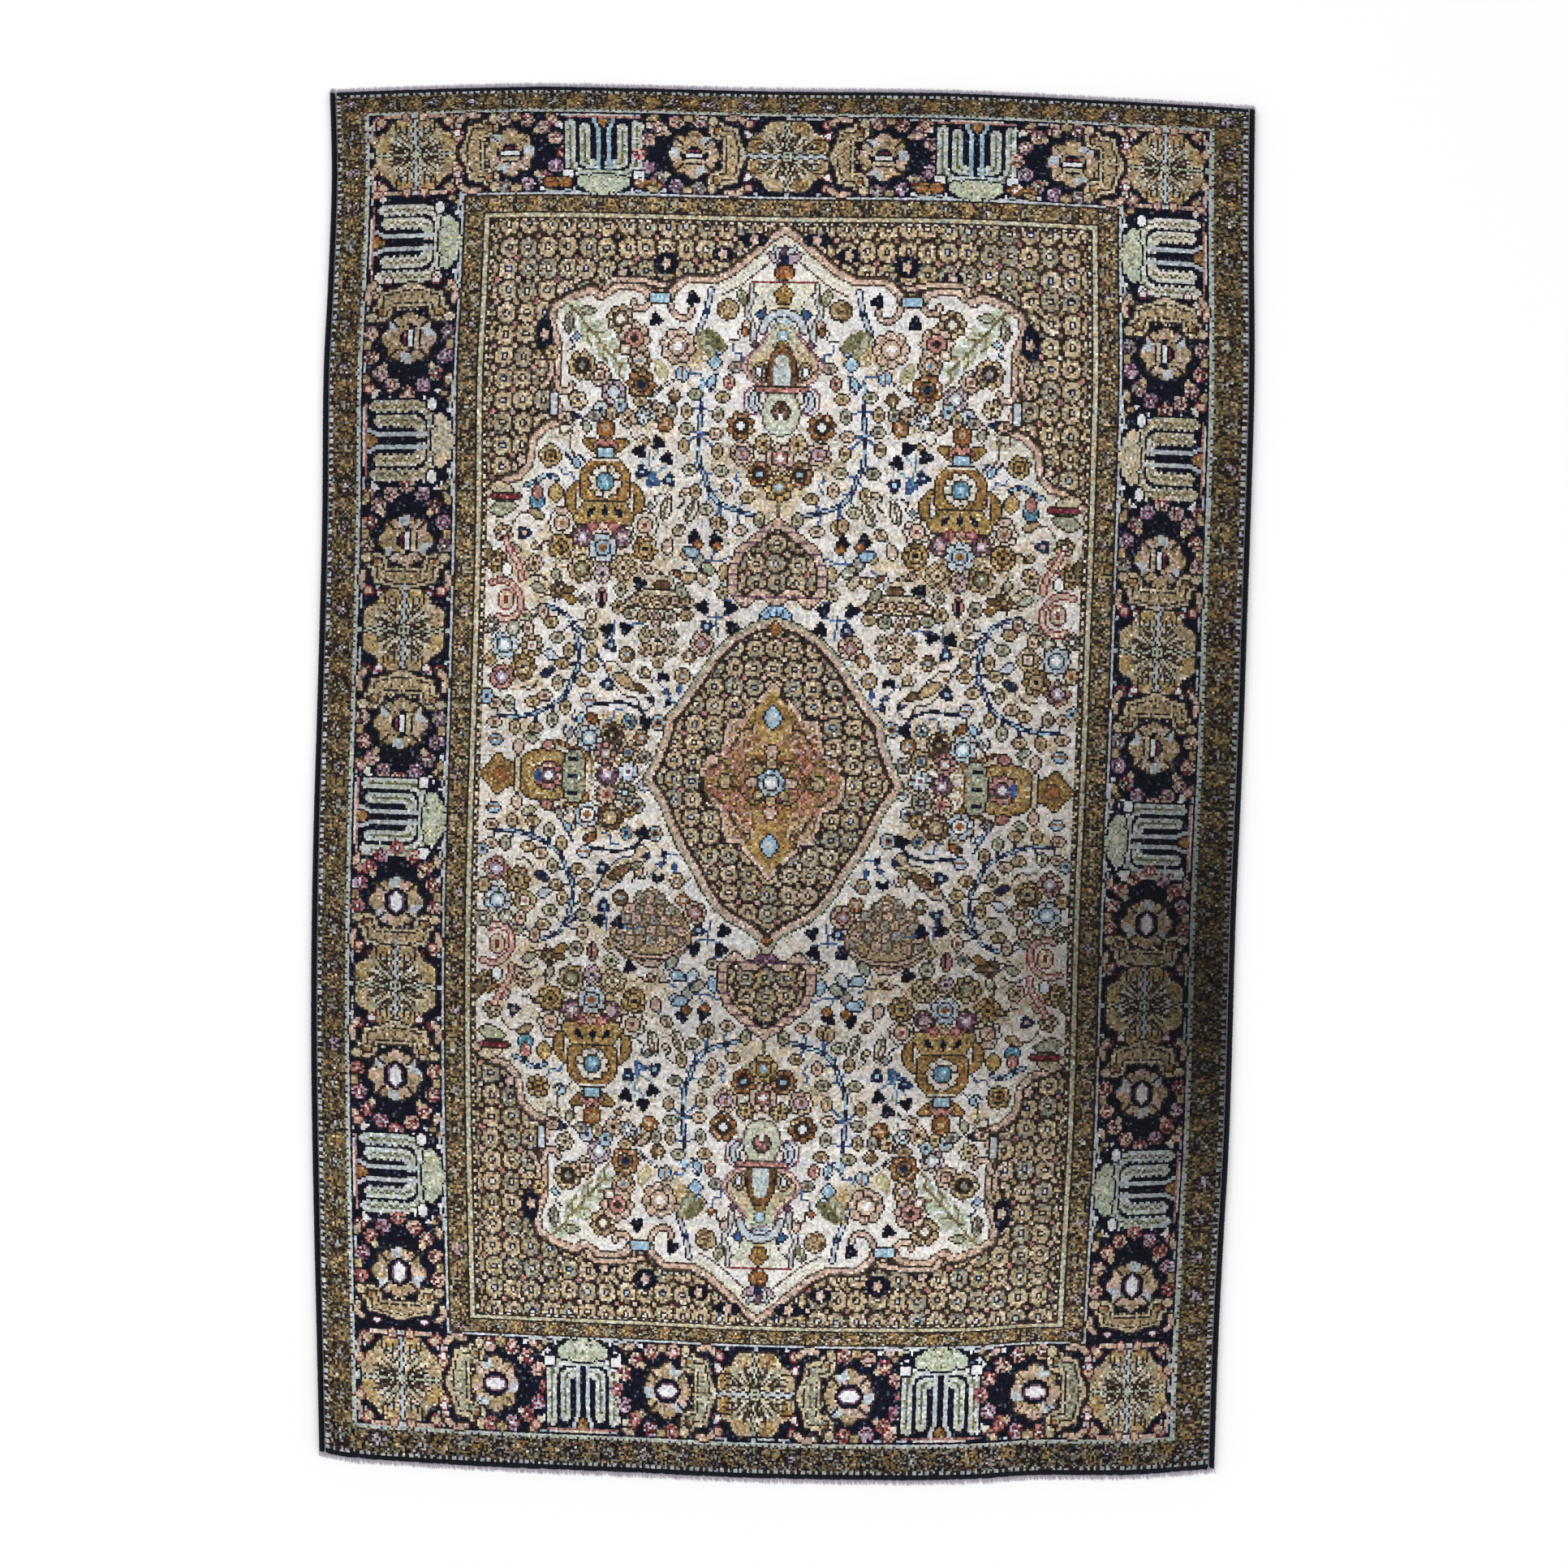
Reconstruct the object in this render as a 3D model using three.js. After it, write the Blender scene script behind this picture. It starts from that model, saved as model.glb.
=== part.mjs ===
// A hand-knotted Kashmir silk rug lying flat, pile side up, on the plane z = 0.
// Millimetres. +Y runs along the warp, towards the end shown uppermost. +Z is up, out of the pile.
// The origin is under the middle of the rug, on the surface that it lies on.

import * as THREE from "three";

// Driving dimensions
const RUG_THICKNESS = 5.0; // knotted body, foundation and pile together
const WEB_THICKNESS = 1.6; // foundation alone, which shows as the plain woven band at each end
const PILE_SHOULDER = 0.7; // height and width of the soft shoulder round the top of the pile
const PILE_SETBACK = 0.4; // pile stands back from the foundation along both sides
const PIECE_GAP = 0.3; // clearance between neighbouring pieces

const SELVEDGE_WIDTH = 4.2; // overcast cord along each long side
const SELVEDGE_HEIGHT = 4.4;
const SELVEDGE_FLAT = 0.45; // share of the cord's width that is flat underneath
const SELVEDGE_STEPS = 56;
const SELVEDGE_TAPER = 7; // length over which a cord narrows at each end
const SELVEDGE_END_SHARE = 0.72; // what is left of its section at the very end

const FRINGE_THICKNESS = 1.0;
const FRINGE_STRIP = 0.9; // width of the knotted strip that holds the strand roots
const STRANDS_PER_END = 142;
const STRAND_ROOT_SHARE = 0.78; // strand width at its root, as a share of the strand pitch
const STRAND_TIP_SHARE = 0.56; // the same at its tip
const STRAND_LENGTH_SPREAD = 0.14; // uneven cutting, as a share of the strand's length
const STRAND_LEAN = 0.5; // largest sideways shift of a strand's tip

const SIDE_POINTS = 36; // points along each long side of the body's outline
const END_POINTS = 28; // points along each end of it

// The two ends differ in how much plain weave and how much warp fringe was left on them
const ENDS = {
  top: { web: 2.6, fringe: 2.9 },
  bottom: { web: 3.0, fringe: 4.3 },
};

// Outer edges of the whole rug, fringe and selvedge cords included: it draws in and bulges unevenly
const LEFT_EDGE = [
  { y: -443, x: -305.3 },
  { y: -370, x: -306.9 },
  { y: -280, x: -309.0 },
  { y: -190, x: -310.6 },
  { y: -110, x: -310.6 },
  { y: -30, x: -309.2 },
  { y: 60, x: -306.5 },
  { y: 170, x: -303.6 },
  { y: 270, x: -302.6 },
  { y: 330, x: -299.6 },
  { y: 400, x: -297.2 },
  { y: 458, x: -298.5 },
];
const RIGHT_EDGE = [
  { y: -454, x: 283.6 },
  { y: -370, x: 286.3 },
  { y: -305, x: 289.5 },
  { y: -240, x: 293.2 },
  { y: -178, x: 295.4 },
  { y: -82, x: 298.1 },
  { y: 14, x: 302.3 },
  { y: 110, x: 305.5 },
  { y: 195, x: 308.4 },
  { y: 270, x: 310.3 },
  { y: 365, x: 309.9 },
  { y: 447, x: 310.6 },
];
const TOP_EDGE = [
  { x: -298, y: 457.6 },
  { x: -240, y: 459.8 },
  { x: -162, y: 461.6 },
  { x: -93, y: 460.6 },
  { x: -8, y: 458.5 },
  { x: 98, y: 457.6 },
  { x: 152, y: 455.7 },
  { x: 210, y: 452.6 },
  { x: 255, y: 450.3 },
  { x: 310, y: 446.7 },
];
const BOTTOM_EDGE = [
  { x: -305, y: -442.6 },
  { x: -285, y: -446.7 },
  { x: -240, y: -450.1 },
  { x: -178, y: -453.4 },
  { x: -93, y: -456.9 },
  { x: -29, y: -460.0 },
  { x: 56, y: -461.6 },
  { x: 122, y: -461.1 },
  { x: 165, y: -458.4 },
  { x: 230, y: -458.0 },
  { x: 284, y: -454.0 },
];

// Smooth reading of an edge table: "along" names the column that is known, "across" the one wanted
function readEdge(table, along, across) {
  const slope = (i) => {
    const before = table[Math.max(i - 1, 0)];
    const after = table[Math.min(i + 1, table.length - 1)];
    return (after[across] - before[across]) / (after[along] - before[along]);
  };
  return (place) => {
    let i = 0;
    while (i < table.length - 2 && place > table[i + 1][along]) i += 1;
    const from = table[i];
    const to = table[i + 1];
    const span = to[along] - from[along];
    const t = THREE.MathUtils.clamp((place - from[along]) / span, 0, 1);
    const rise = 3 * t ** 2 - 2 * t ** 3;
    const leave = (t ** 3 - 2 * t ** 2 + t) * span * slope(i);
    const arrive = (t ** 3 - t ** 2) * span * slope(i + 1);
    return from[across] + (to[across] - from[across]) * rise + leave + arrive;
  };
}

const leftX = readEdge(LEFT_EDGE, "y", "x");
const rightX = readEdge(RIGHT_EDGE, "y", "x");
const topY = readEdge(TOP_EDGE, "x", "y");
const bottomY = readEdge(BOTTOM_EDGE, "x", "y");

// The corner where a side line and an end line cross
function corner(sideX, endY) {
  const spot = new THREE.Vector2(sideX(0), 0);
  for (let round = 0; round < 4; round += 1) {
    spot.y = endY(spot.x);
    spot.x = sideX(spot.y);
  }
  return spot;
}

// Anticlockwise outline, set in from the outer edges by its own amount at the sides and at each end
function outline(inset) {
  const left = (y) => leftX(y) + inset.side;
  const right = (y) => rightX(y) - inset.side;
  const top = (x) => topY(x) - inset.top;
  const bottom = (x) => bottomY(x) + inset.bottom;
  const a = corner(left, bottom);
  const b = corner(right, bottom);
  const c = corner(right, top);
  const d = corner(left, top);
  const points = [];
  const alongEnd = (from, to, endY) => {
    for (let i = 0; i < END_POINTS; i += 1) {
      const x = THREE.MathUtils.lerp(from.x, to.x, i / END_POINTS);
      points.push(new THREE.Vector2(x, endY(x)));
    }
  };
  const alongSide = (from, to, sideX) => {
    for (let i = 0; i < SIDE_POINTS; i += 1) {
      const y = THREE.MathUtils.lerp(from.y, to.y, i / SIDE_POINTS);
      points.push(new THREE.Vector2(sideX(y), y));
    }
  };
  alongEnd(a, b, bottom);
  alongSide(b, c, right);
  alongEnd(c, d, top);
  alongSide(d, a, left);
  return points;
}

// A closed solid through a stack of outlines that have the same number of points
function loft(rings) {
  const count = rings[0].points.length;
  const positions = rings.flatMap((ring) => ring.points.flatMap((p) => [p.x, p.y, ring.z]));
  const index = [];
  for (let r = 0; r < rings.length - 1; r += 1) {
    for (let i = 0; i < count; i += 1) {
      const low = r * count + i;
      const lowNext = r * count + ((i + 1) % count);
      index.push(low, lowNext, lowNext + count, low, lowNext + count, low + count);
    }
  }
  const last = (rings.length - 1) * count;
  for (const [i, j, k] of THREE.ShapeUtils.triangulateShape(rings[0].points, [])) {
    index.push(k, j, i);
  }
  for (const [i, j, k] of THREE.ShapeUtils.triangulateShape(rings[rings.length - 1].points, [])) {
    index.push(last + i, last + j, last + k);
  }
  const geometry = new THREE.BufferGeometry();
  geometry.setAttribute("position", new THREE.Float32BufferAttribute(positions, 3));
  geometry.setIndex(index);
  geometry.computeVertexNormals();
  return geometry;
}

// Knotted body: the thin foundation reaches out past the pile as a woven band at each end
function rugBody() {
  const side = SELVEDGE_WIDTH + PIECE_GAP;
  const cloth = {
    side,
    top: ENDS.top.fringe + PIECE_GAP,
    bottom: ENDS.bottom.fringe + PIECE_GAP,
  };
  const pile = {
    side: side + PILE_SETBACK,
    top: cloth.top + ENDS.top.web,
    bottom: cloth.bottom + ENDS.bottom.web,
  };
  const pileTop = {
    side: pile.side + PILE_SHOULDER,
    top: pile.top + PILE_SHOULDER,
    bottom: pile.bottom + PILE_SHOULDER,
  };
  return loft([
    { z: 0, points: outline(cloth) },
    { z: WEB_THICKNESS, points: outline(cloth) },
    { z: WEB_THICKNESS, points: outline(pile) },
    { z: RUG_THICKNESS - PILE_SHOULDER, points: outline(pile) },
    { z: RUG_THICKNESS, points: outline(pileTop) },
  ]);
}

// Section of an overcast selvedge cord: round on top, flat where it lies on the floor
function cordSection() {
  const half = SELVEDGE_WIDTH / 2;
  const shoulder = SELVEDGE_HEIGHT * 0.3;
  const section = new THREE.Shape();
  section.moveTo(-half * SELVEDGE_FLAT, 0);
  section.lineTo(half * SELVEDGE_FLAT, 0);
  section.lineTo(half, shoulder);
  section.lineTo(half, SELVEDGE_HEIGHT - shoulder);
  section.lineTo(half * SELVEDGE_FLAT, SELVEDGE_HEIGHT);
  section.lineTo(-half * SELVEDGE_FLAT, SELVEDGE_HEIGHT);
  section.lineTo(-half, SELVEDGE_HEIGHT - shoulder);
  section.lineTo(-half, shoulder);
  return section;
}

// One cord, drawn straight first and then bent to its own side of the rug
function selvedge(sideX, inward) {
  const top = (x) => topY(x) - ENDS.top.fringe - PIECE_GAP;
  const bottom = (x) => bottomY(x) + ENDS.bottom.fringe + PIECE_GAP;
  const middle = (y) => sideX(y) + (inward * SELVEDGE_WIDTH) / 2;
  const start = corner(middle, bottom).y;
  const length = corner(middle, top).y - start;
  const cord = new THREE.ExtrudeGeometry(cordSection(), {
    depth: length,
    steps: SELVEDGE_STEPS,
    bevelEnabled: false,
  });
  // The section's x becomes -x, its y becomes up and the extrusion runs along +Y: a plain turn
  const place = cord.attributes.position;
  for (let i = 0; i < place.count; i += 1) {
    const across = -place.getX(i);
    const up = place.getY(i);
    const along = place.getZ(i);
    const toEnd = Math.min(along, length - along) / SELVEDGE_TAPER;
    const full = THREE.MathUtils.smoothstep(toEnd, 0, 1);
    const share = THREE.MathUtils.lerp(SELVEDGE_END_SHARE, 1, full);
    const y = start + along;
    place.setXYZ(i, middle(y) + across * share, y, up * share);
  }
  cord.computeVertexNormals();
  return cord;
}

// Uneven hand cutting: a repeatable number from 0 to 1 for each strand
function unevenness(strand, salt) {
  const wave = Math.sin(strand * 12.9898 + salt * 78.233) * 43758.5453;
  return wave - Math.floor(wave);
}

// Fringe: short warp ends side by side, their roots held by a narrow strip next to the cloth
function fringe(endY, outward, length, salt) {
  const innerY = (x) => endY(x) - outward * length;
  const stripY = (x) => innerY(x) + outward * FRINGE_STRIP;
  const from = corner((y) => leftX(y), innerY).x;
  const to = corner((y) => rightX(y), innerY).x;
  const pitch = (to - from) / STRANDS_PER_END;
  const reach = length - FRINGE_STRIP;
  const comb = [];
  for (let i = 0; i < STRANDS_PER_END; i += 1) {
    const x = from + (i + 0.5) * pitch;
    const root = (pitch * STRAND_ROOT_SHARE) / 2;
    const tip = (pitch * STRAND_TIP_SHARE) / 2;
    const lean = (unevenness(i, salt) - 0.5) * 2 * STRAND_LEAN;
    const long = reach * (1 - STRAND_LENGTH_SPREAD * unevenness(i, salt + 1));
    const tipY = stripY(x) + outward * long;
    comb.push(new THREE.Vector2(x - root, stripY(x - root)));
    comb.push(new THREE.Vector2(x - tip + lean, tipY));
    comb.push(new THREE.Vector2(x + tip + lean, tipY));
    comb.push(new THREE.Vector2(x + root, stripY(x + root)));
  }
  const back = [];
  for (let i = 0; i <= END_POINTS; i += 1) {
    const x = THREE.MathUtils.lerp(to, from, i / END_POINTS);
    back.push(new THREE.Vector2(x, innerY(x)));
  }
  return new THREE.ExtrudeGeometry(new THREE.Shape([...comb, ...back]), {
    depth: FRINGE_THICKNESS,
    steps: 1,
    bevelEnabled: false,
  });
}

const silkPile = new THREE.MeshStandardMaterial({ color: 0x8a7a62, roughness: 0.55, metalness: 0 });
const leftBinding = new THREE.MeshStandardMaterial({ color: 0x16192a, roughness: 0.7, metalness: 0 });
const rightBinding = leftBinding.clone();
const topYarn = new THREE.MeshStandardMaterial({ color: 0xb9abc0, roughness: 0.75, metalness: 0 });
const bottomYarn = topYarn.clone();

function named(name, geometry, material) {
  const mesh = new THREE.Mesh(geometry, material);
  mesh.name = name;
  return mesh;
}

const rug = new THREE.Group();
rug.add(
  named("rug_body", rugBody(), silkPile),
  named("selvedge_left", selvedge(leftX, 1), leftBinding),
  named("selvedge_right", selvedge(rightX, -1), rightBinding),
  named("fringe_top", fringe(topY, 1, ENDS.top.fringe, 3), topYarn),
  named("fringe_bottom", fringe(bottomY, -1, ENDS.bottom.fringe, 7), bottomYarn),
);

export default rug;
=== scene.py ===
import math

import bpy
import numpy as np
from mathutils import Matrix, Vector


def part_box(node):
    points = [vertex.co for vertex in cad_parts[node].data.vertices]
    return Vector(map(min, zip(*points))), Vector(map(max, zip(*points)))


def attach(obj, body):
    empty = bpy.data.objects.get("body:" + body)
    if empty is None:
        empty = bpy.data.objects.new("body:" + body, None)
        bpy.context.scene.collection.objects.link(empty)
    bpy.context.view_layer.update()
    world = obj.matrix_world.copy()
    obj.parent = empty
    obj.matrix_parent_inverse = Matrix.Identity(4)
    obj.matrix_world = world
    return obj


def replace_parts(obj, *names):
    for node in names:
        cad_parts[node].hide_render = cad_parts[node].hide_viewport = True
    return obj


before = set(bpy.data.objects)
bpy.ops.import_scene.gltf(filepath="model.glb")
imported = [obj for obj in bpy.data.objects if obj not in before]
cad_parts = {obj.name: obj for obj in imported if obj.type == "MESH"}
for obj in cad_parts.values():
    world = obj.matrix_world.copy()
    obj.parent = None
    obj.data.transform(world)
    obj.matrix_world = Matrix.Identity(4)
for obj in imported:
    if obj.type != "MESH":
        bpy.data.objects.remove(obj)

bl_info = {
    "name": "Kashmir silk rug",
    "version": (1, 0, 0),
    "blender": (4, 5, 0),
    "location": "View3D > Sidebar > Silk Rug",
    "description": "A knotted silk pile rug with overcast sides, woven end bands and warp fringes",
    "category": "Object",
}

MM = 0.001
PHOTO_WIDTH = 1932 * 0.533 * MM  # what the photo takes in, at 0.533 mm to a pixel

# Outer edges of the whole rug in millimetres, the same tables as the part's source has
LEFT_EDGE = (
    (-443, -305.3), (-370, -306.9), (-280, -309.0), (-190, -310.6), (-110, -310.6), (-30, -309.2),
    (60, -306.5), (170, -303.6), (270, -302.6), (330, -299.6), (400, -297.2), (458, -298.5),
)
RIGHT_EDGE = (
    (-454, 283.6), (-370, 286.3), (-305, 289.5), (-240, 293.2), (-178, 295.4), (-82, 298.1),
    (14, 302.3), (110, 305.5), (195, 308.4), (270, 310.3), (365, 309.9), (447, 310.6),
)
TOP_EDGE = (
    (-298, 457.6), (-240, 459.8), (-162, 461.6), (-93, 460.6), (-8, 458.5), (98, 457.6),
    (152, 455.7), (210, 452.6), (255, 450.3), (310, 446.7),
)
BOTTOM_EDGE = (
    (-305, -442.6), (-285, -446.7), (-240, -450.1), (-178, -453.4), (-93, -456.9), (-29, -460.0),
    (56, -461.6), (122, -461.1), (165, -458.4), (230, -458.0), (284, -454.0),
)


def read_edge(table, place):
    """Smooth reading of an edge table, in millimetres, for one place or an array of them."""
    known, wanted = (np.array(column, float) for column in zip(*table))
    place = np.asarray(place, float)
    last = len(known) - 1
    before = np.maximum(np.arange(last + 1) - 1, 0)
    after = np.minimum(np.arange(last + 1) + 1, last)
    slope = (wanted[after] - wanted[before]) / (known[after] - known[before])
    i = np.clip(np.searchsorted(known, place, "left") - 1, 0, last - 1)
    span = known[i + 1] - known[i]
    t = np.clip((place - known[i]) / span, 0, 1)
    rise = 3 * t**2 - 2 * t**3
    leave = (t**3 - 2 * t**2 + t) * span * slope[i]
    arrive = (t**3 - t**2) * span * slope[i + 1]
    return wanted[i] + (wanted[i + 1] - wanted[i]) * rise + leave + arrive


# The chart: one cell for each knot. Row 0 is at the upper end, and places on it are counted in knots
# from its middle, x to the right and y up.
COLUMNS = 430
ROWS = 662
BORDER = 75  # knots from the edge of the pile to the field
BORDER_MIDDLE = BORDER / 2
FIELD_X = COLUMNS / 2 - BORDER
FIELD_Y = ROWS / 2 - BORDER

# Stripes of the border, each from one knot to another, counted in from the edge of the pile
BEADS = (0, 2)
OUTER_GUARD = (2, 14)
OUTER_LINE = (14, 16)
INNER_LINE = (59, 60)
INNER_GAP = (60, 61)
INNER_GUARD = (61, 69)
FIELD_LINES = (69, 75)
PALE_LINE = (70, 72)

# Lines of the chart, and the millimetres from each outer edge of the rug at which they lie
STRIPES = (0, 16, 59.5, BORDER)
LEFT_STRIPES = (4.9, 25.6, 87.1, 109.1)
RIGHT_STRIPES = (4.9, 30.4, 88.5, 110.9)
TOP_STRIPES = (5.8, 19.9, 73.5, 92.6)
BOTTOM_STRIPES = (7.6, 27.6, 91.4, 106.8)

# The middle column and row of knots lean: millimetres off the middle of the rug, and the lean
AXIS_SHIFT, AXIS_LEAN = -8.1269708, 0.0266
MIDDLE_SHIFT, MIDDLE_LEAN = 0.4264, -0.034
ROUNDS = 6  # of finding the places across and along, each from the other

INKS = (
    ("ink", "Ink black", (18, 20, 34)),
    ("navy", "Navy", (30, 36, 62)),
    ("brown", "Dark brown", (50, 40, 36)),
    ("bark", "Bark brown", (84, 68, 58)),
    ("umber", "Umber", (98, 76, 54)),
    ("rust", "Rust", (140, 92, 56)),
    ("ochre", "Ochre", (148, 116, 70)),
    ("gold", "Gold", (176, 148, 98)),
    ("olive", "Olive", (122, 108, 76)),
    ("tan", "Tan", (172, 150, 116)),
    ("sand", "Sand", (196, 180, 152)),
    ("ivory", "Ivory", (226, 221, 216)),
    ("cream", "Cream", (222, 214, 204)),
    ("white", "White", (234, 234, 236)),
    ("blush", "Blush", (200, 172, 156)),
    ("rose", "Rose", (174, 122, 116)),
    ("madder", "Madder red", (112, 46, 54)),
    ("lilac", "Lilac", (178, 156, 174)),
    ("mauve", "Mauve", (112, 76, 96)),
    ("sky", "Sky blue", (156, 184, 202)),
    ("teal", "Light teal", (96, 138, 158)),
    ("blue", "Blue", (62, 88, 130)),
    ("sage", "Sage", (160, 162, 140)),
    ("celadon", "Celadon", (186, 194, 174)),
    ("straw", "Straw", (186, 180, 142)),
    ("honey", "Honey", (206, 188, 164)),
    ("moss", "Moss", (106, 106, 78)),
    ("grey", "Warm grey", (148, 146, 138)),
    ("mist", "Pale blue grey", (190, 197, 203)),
)
INK = {name: number for number, (name, _, _) in enumerate(INKS)}


def inside(points, x, y):
    """Which places lie inside a closed line of points."""
    found = np.zeros(x.shape, bool)
    for (x0, y0), (x1, y1) in zip(points, points[1:] + points[:1]):
        if y0 == y1:
            continue
        crosses = (y0 > y) != (y1 > y)
        found ^= crosses & (x < (x1 - x0) * (y - y0) / (y1 - y0) + x0)
    return found


def line_distance(points, x, y):
    """Distance of each place from a line of points."""
    best = np.full(x.shape, 1e9)
    for (x0, y0), (x1, y1) in zip(points, points[1:]):
        dx, dy = x1 - x0, y1 - y0
        t = np.clip(((x - x0) * dx + (y - y0) * dy) / max(dx * dx + dy * dy, 1e-9), 0, 1)
        best = np.minimum(best, np.hypot(x - x0 - t * dx, y - y0 - t * dy))
    return best


def smooth(points, closed=False, steps=4):
    """The same line of points, rounded at its corners."""
    p = [np.array(q, float) for q in points]
    p = [p[-1], *p, p[0], p[1]] if closed else [p[0], *p, p[-1]]
    out = []
    for a, b, c, d in zip(p, p[1:], p[2:], p[3:]):
        for i in range(steps):
            t = i / steps
            out.append(tuple(0.5 * (2 * b + (c - a) * t + (2 * a - 5 * b + 4 * c - d) * t**2
                                    + (3 * b - a - 3 * c + d) * t**3)))
    return out if closed else [*out, tuple(p[-2])]


class Pen:
    """Lays knots on the chart. It works in its own place, turn and size, so that one motif serves everywhere."""

    def __init__(self, chart, seed=0, within=None):
        self.chart, self.within = chart, within
        self.random = np.random.default_rng(seed)
        self.matrix, self.origin = np.eye(2), np.zeros(2)

    def at(self, x, y, turn=0.0, size=1.0, flip=1):
        """A pen at a place of this one, turned anticlockwise by degrees, scaled, and mirrored if flip is -1."""
        other = object.__new__(Pen)
        other.chart, other.within, other.random = self.chart, self.within, self.random
        c, s = math.cos(math.radians(turn)) * size, math.sin(math.radians(turn)) * size
        other.matrix = self.matrix @ np.array([[c * flip, -s], [s * flip, c]])
        other.origin = self.origin + self.matrix @ (x, y)
        return other

    def mirrored(self, across, along=1):
        """A pen at the same place, mirrored left to right or upside down where a value is -1."""
        other = self.at(0, 0)
        other.matrix = self.matrix * (across, along)
        return other

    def halves(self):
        """Pens for the left and the right half of a motif."""
        return [self.mirrored(side) for side in (-1, 1)]

    def quarters(self):
        """Pens for the four quarters of a motif."""
        return [self.mirrored(side, end) for side in (-1, 1) for end in (-1, 1)]

    def patch(self, x, y, reach):
        """The part of the chart round a place, with the pen's own coordinates of its knots."""
        rows, columns = self.chart.shape
        cx, cy = self.origin + self.matrix @ (x, y)
        r = reach * math.sqrt(abs(np.linalg.det(self.matrix))) + 2
        left, top = max(int(cx + columns / 2 - r), 0), max(int(rows / 2 - cy - r), 0)
        right = max(min(int(cx + columns / 2 + r) + 2, columns), left)
        low = max(min(int(rows / 2 - cy + r) + 2, rows), top)
        gx, gy = np.meshgrid(np.arange(left, right) + 0.5 - columns / 2 - self.origin[0],
                             rows / 2 - 0.5 - np.arange(top, low) - self.origin[1])
        a = np.linalg.inv(self.matrix)
        return (slice(top, low), slice(left, right)), a[0, 0] * gx + a[0, 1] * gy, a[1, 0] * gx + a[1, 1] * gy

    def lay(self, where, mask, ink, edge=None):
        """Knots one colour over a mask, with a line of another round it."""
        allowed = True if self.within is None else self.within[where]
        if edge:
            wide = mask.copy()
            wide[1:] |= mask[:-1]
            wide[:-1] |= mask[1:]
            wide[:, 1:] |= mask[:, :-1]
            wide[:, :-1] |= mask[:, 1:]
            self.chart[where][wide & allowed] = INK[edge]
        if ink:
            self.chart[where][mask & allowed] = INK[ink]

    def oval(self, x, y, rx, ry, ink, edge=None):
        """An upright oval of two radii."""
        where, px, py = self.patch(x, y, max(rx, ry))
        self.lay(where, ((px - x) / rx) ** 2 + ((py - y) / ry) ** 2 <= 1, ink, edge)

    def bloom(self, x, y, r, petals, ink, edge=None, depth=0.22, start=0, gap=None):
        """A round flower form whose edge has that many petals, with lines between them if gap names a colour."""
        where, px, py = self.patch(x, y, r)
        away = np.hypot(px - x, py - y)
        angle = (np.arctan2(py - y, px - x) - math.radians(start)) * petals / 2
        self.lay(where, away <= r * (1 - depth + depth * np.abs(np.cos(angle))), ink, edge)
        if gap:
            self.lay(where, (away <= r * 0.9) & (away > r * 0.4)
                     & (np.abs(np.cos(angle)) * away < 0.5 * petals / 4), gap)

    def round_points(self, points, margin=0):
        """The patch that a line of points takes up."""
        middle = np.mean(points, 0)
        return self.patch(*middle, np.hypot(*(np.array(points) - middle).T).max() + margin)

    def shape(self, points, ink, edge=None):
        """A filled form within a closed line of points."""
        where, px, py = self.round_points(points)
        self.lay(where, inside(points, px, py), ink, edge)

    def twin(self, points, ink, edge=None):
        """A shape that is the same on both sides, given by its right half from top to bottom."""
        self.shape([*points, *[(-x, y) for x, y in reversed(points)]], ink, edge)

    def stem(self, points, width, ink, edge=None):
        """A line from point to point."""
        where, px, py = self.round_points(points, width)
        self.lay(where, line_distance(points, px, py) <= width / 2, ink, edge)

    def curve(self, points, width, ink, edge=None):
        """A line rounded at its points."""
        self.stem(smooth(points), width, ink, edge)

    def box(self, x, y, half_x, half_y, ink, edge=None):
        """An upright oblong."""
        where, px, py = self.patch(x, y, math.hypot(half_x, half_y))
        self.lay(where, (np.abs(px - x) <= half_x) & (np.abs(py - y) <= half_y), ink, edge)

    def leaf(self, x, y, turn, length, width, ink, edge=None, rib=None):
        """A pointed leaf that starts at a place and grows in a direction."""
        pen = self.at(x, y, turn - 90)
        where, px, py = pen.patch(0, length / 2, length / 2 + width)
        t = np.clip(py / length, 0, 1)
        inner = (py > 0) & (py < length)
        pen.lay(where, inner & (np.abs(px) <= width / 2 * np.sin(np.pi * t**0.8)), ink, edge)
        if rib:
            pen.lay(where, inner & (np.abs(px) <= 0.5) & (py < length * 0.8), rib)

    def scatter(self, x, y, rx, ry, share, ink):
        """Single knots of a colour, strewn over an oval."""
        where, px, py = self.patch(x, y, max(rx, ry))
        self.lay(where, (((px - x) / rx) ** 2 + ((py - y) / ry) ** 2 <= 1) & (self.random.random(px.shape) < share),
                 ink)

    def dots(self, points, r, ink, edge=None):
        """A round dot at each place."""
        for x, y in points:
            self.oval(x, y, r, r, ink, edge)

    def flower(self, x, y, r, petal, heart, ring=None, petals=8, edge="brown", gap="brown"):
        """An open flower: scalloped petals with pale glints and dark veins, an inner ring and a heart."""
        turn = float(self.random.uniform(0, 20))
        r *= 1.1 if r > 4 else 1
        self.bloom(x, y, r, petals if r > 4 else 6, petal, edge, start=turn)
        self.scatter(x, y, r * 0.9, r * 0.9, 0.2, "sand" if petal != "mist" else "sky")
        if r > 3.6:
            self.bloom(x, y, r, petals, None, start=turn, gap=gap)
        if ring:
            self.oval(x, y, r * 0.5, r * 0.5, ring, edge if r > 5 else None)
        self.oval(x, y, max(r * 0.26, 0.8), max(r * 0.26, 0.8), heart)


# Main border. The pen of a unit looks towards the field: y grows that way, and x runs along the border.

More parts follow.
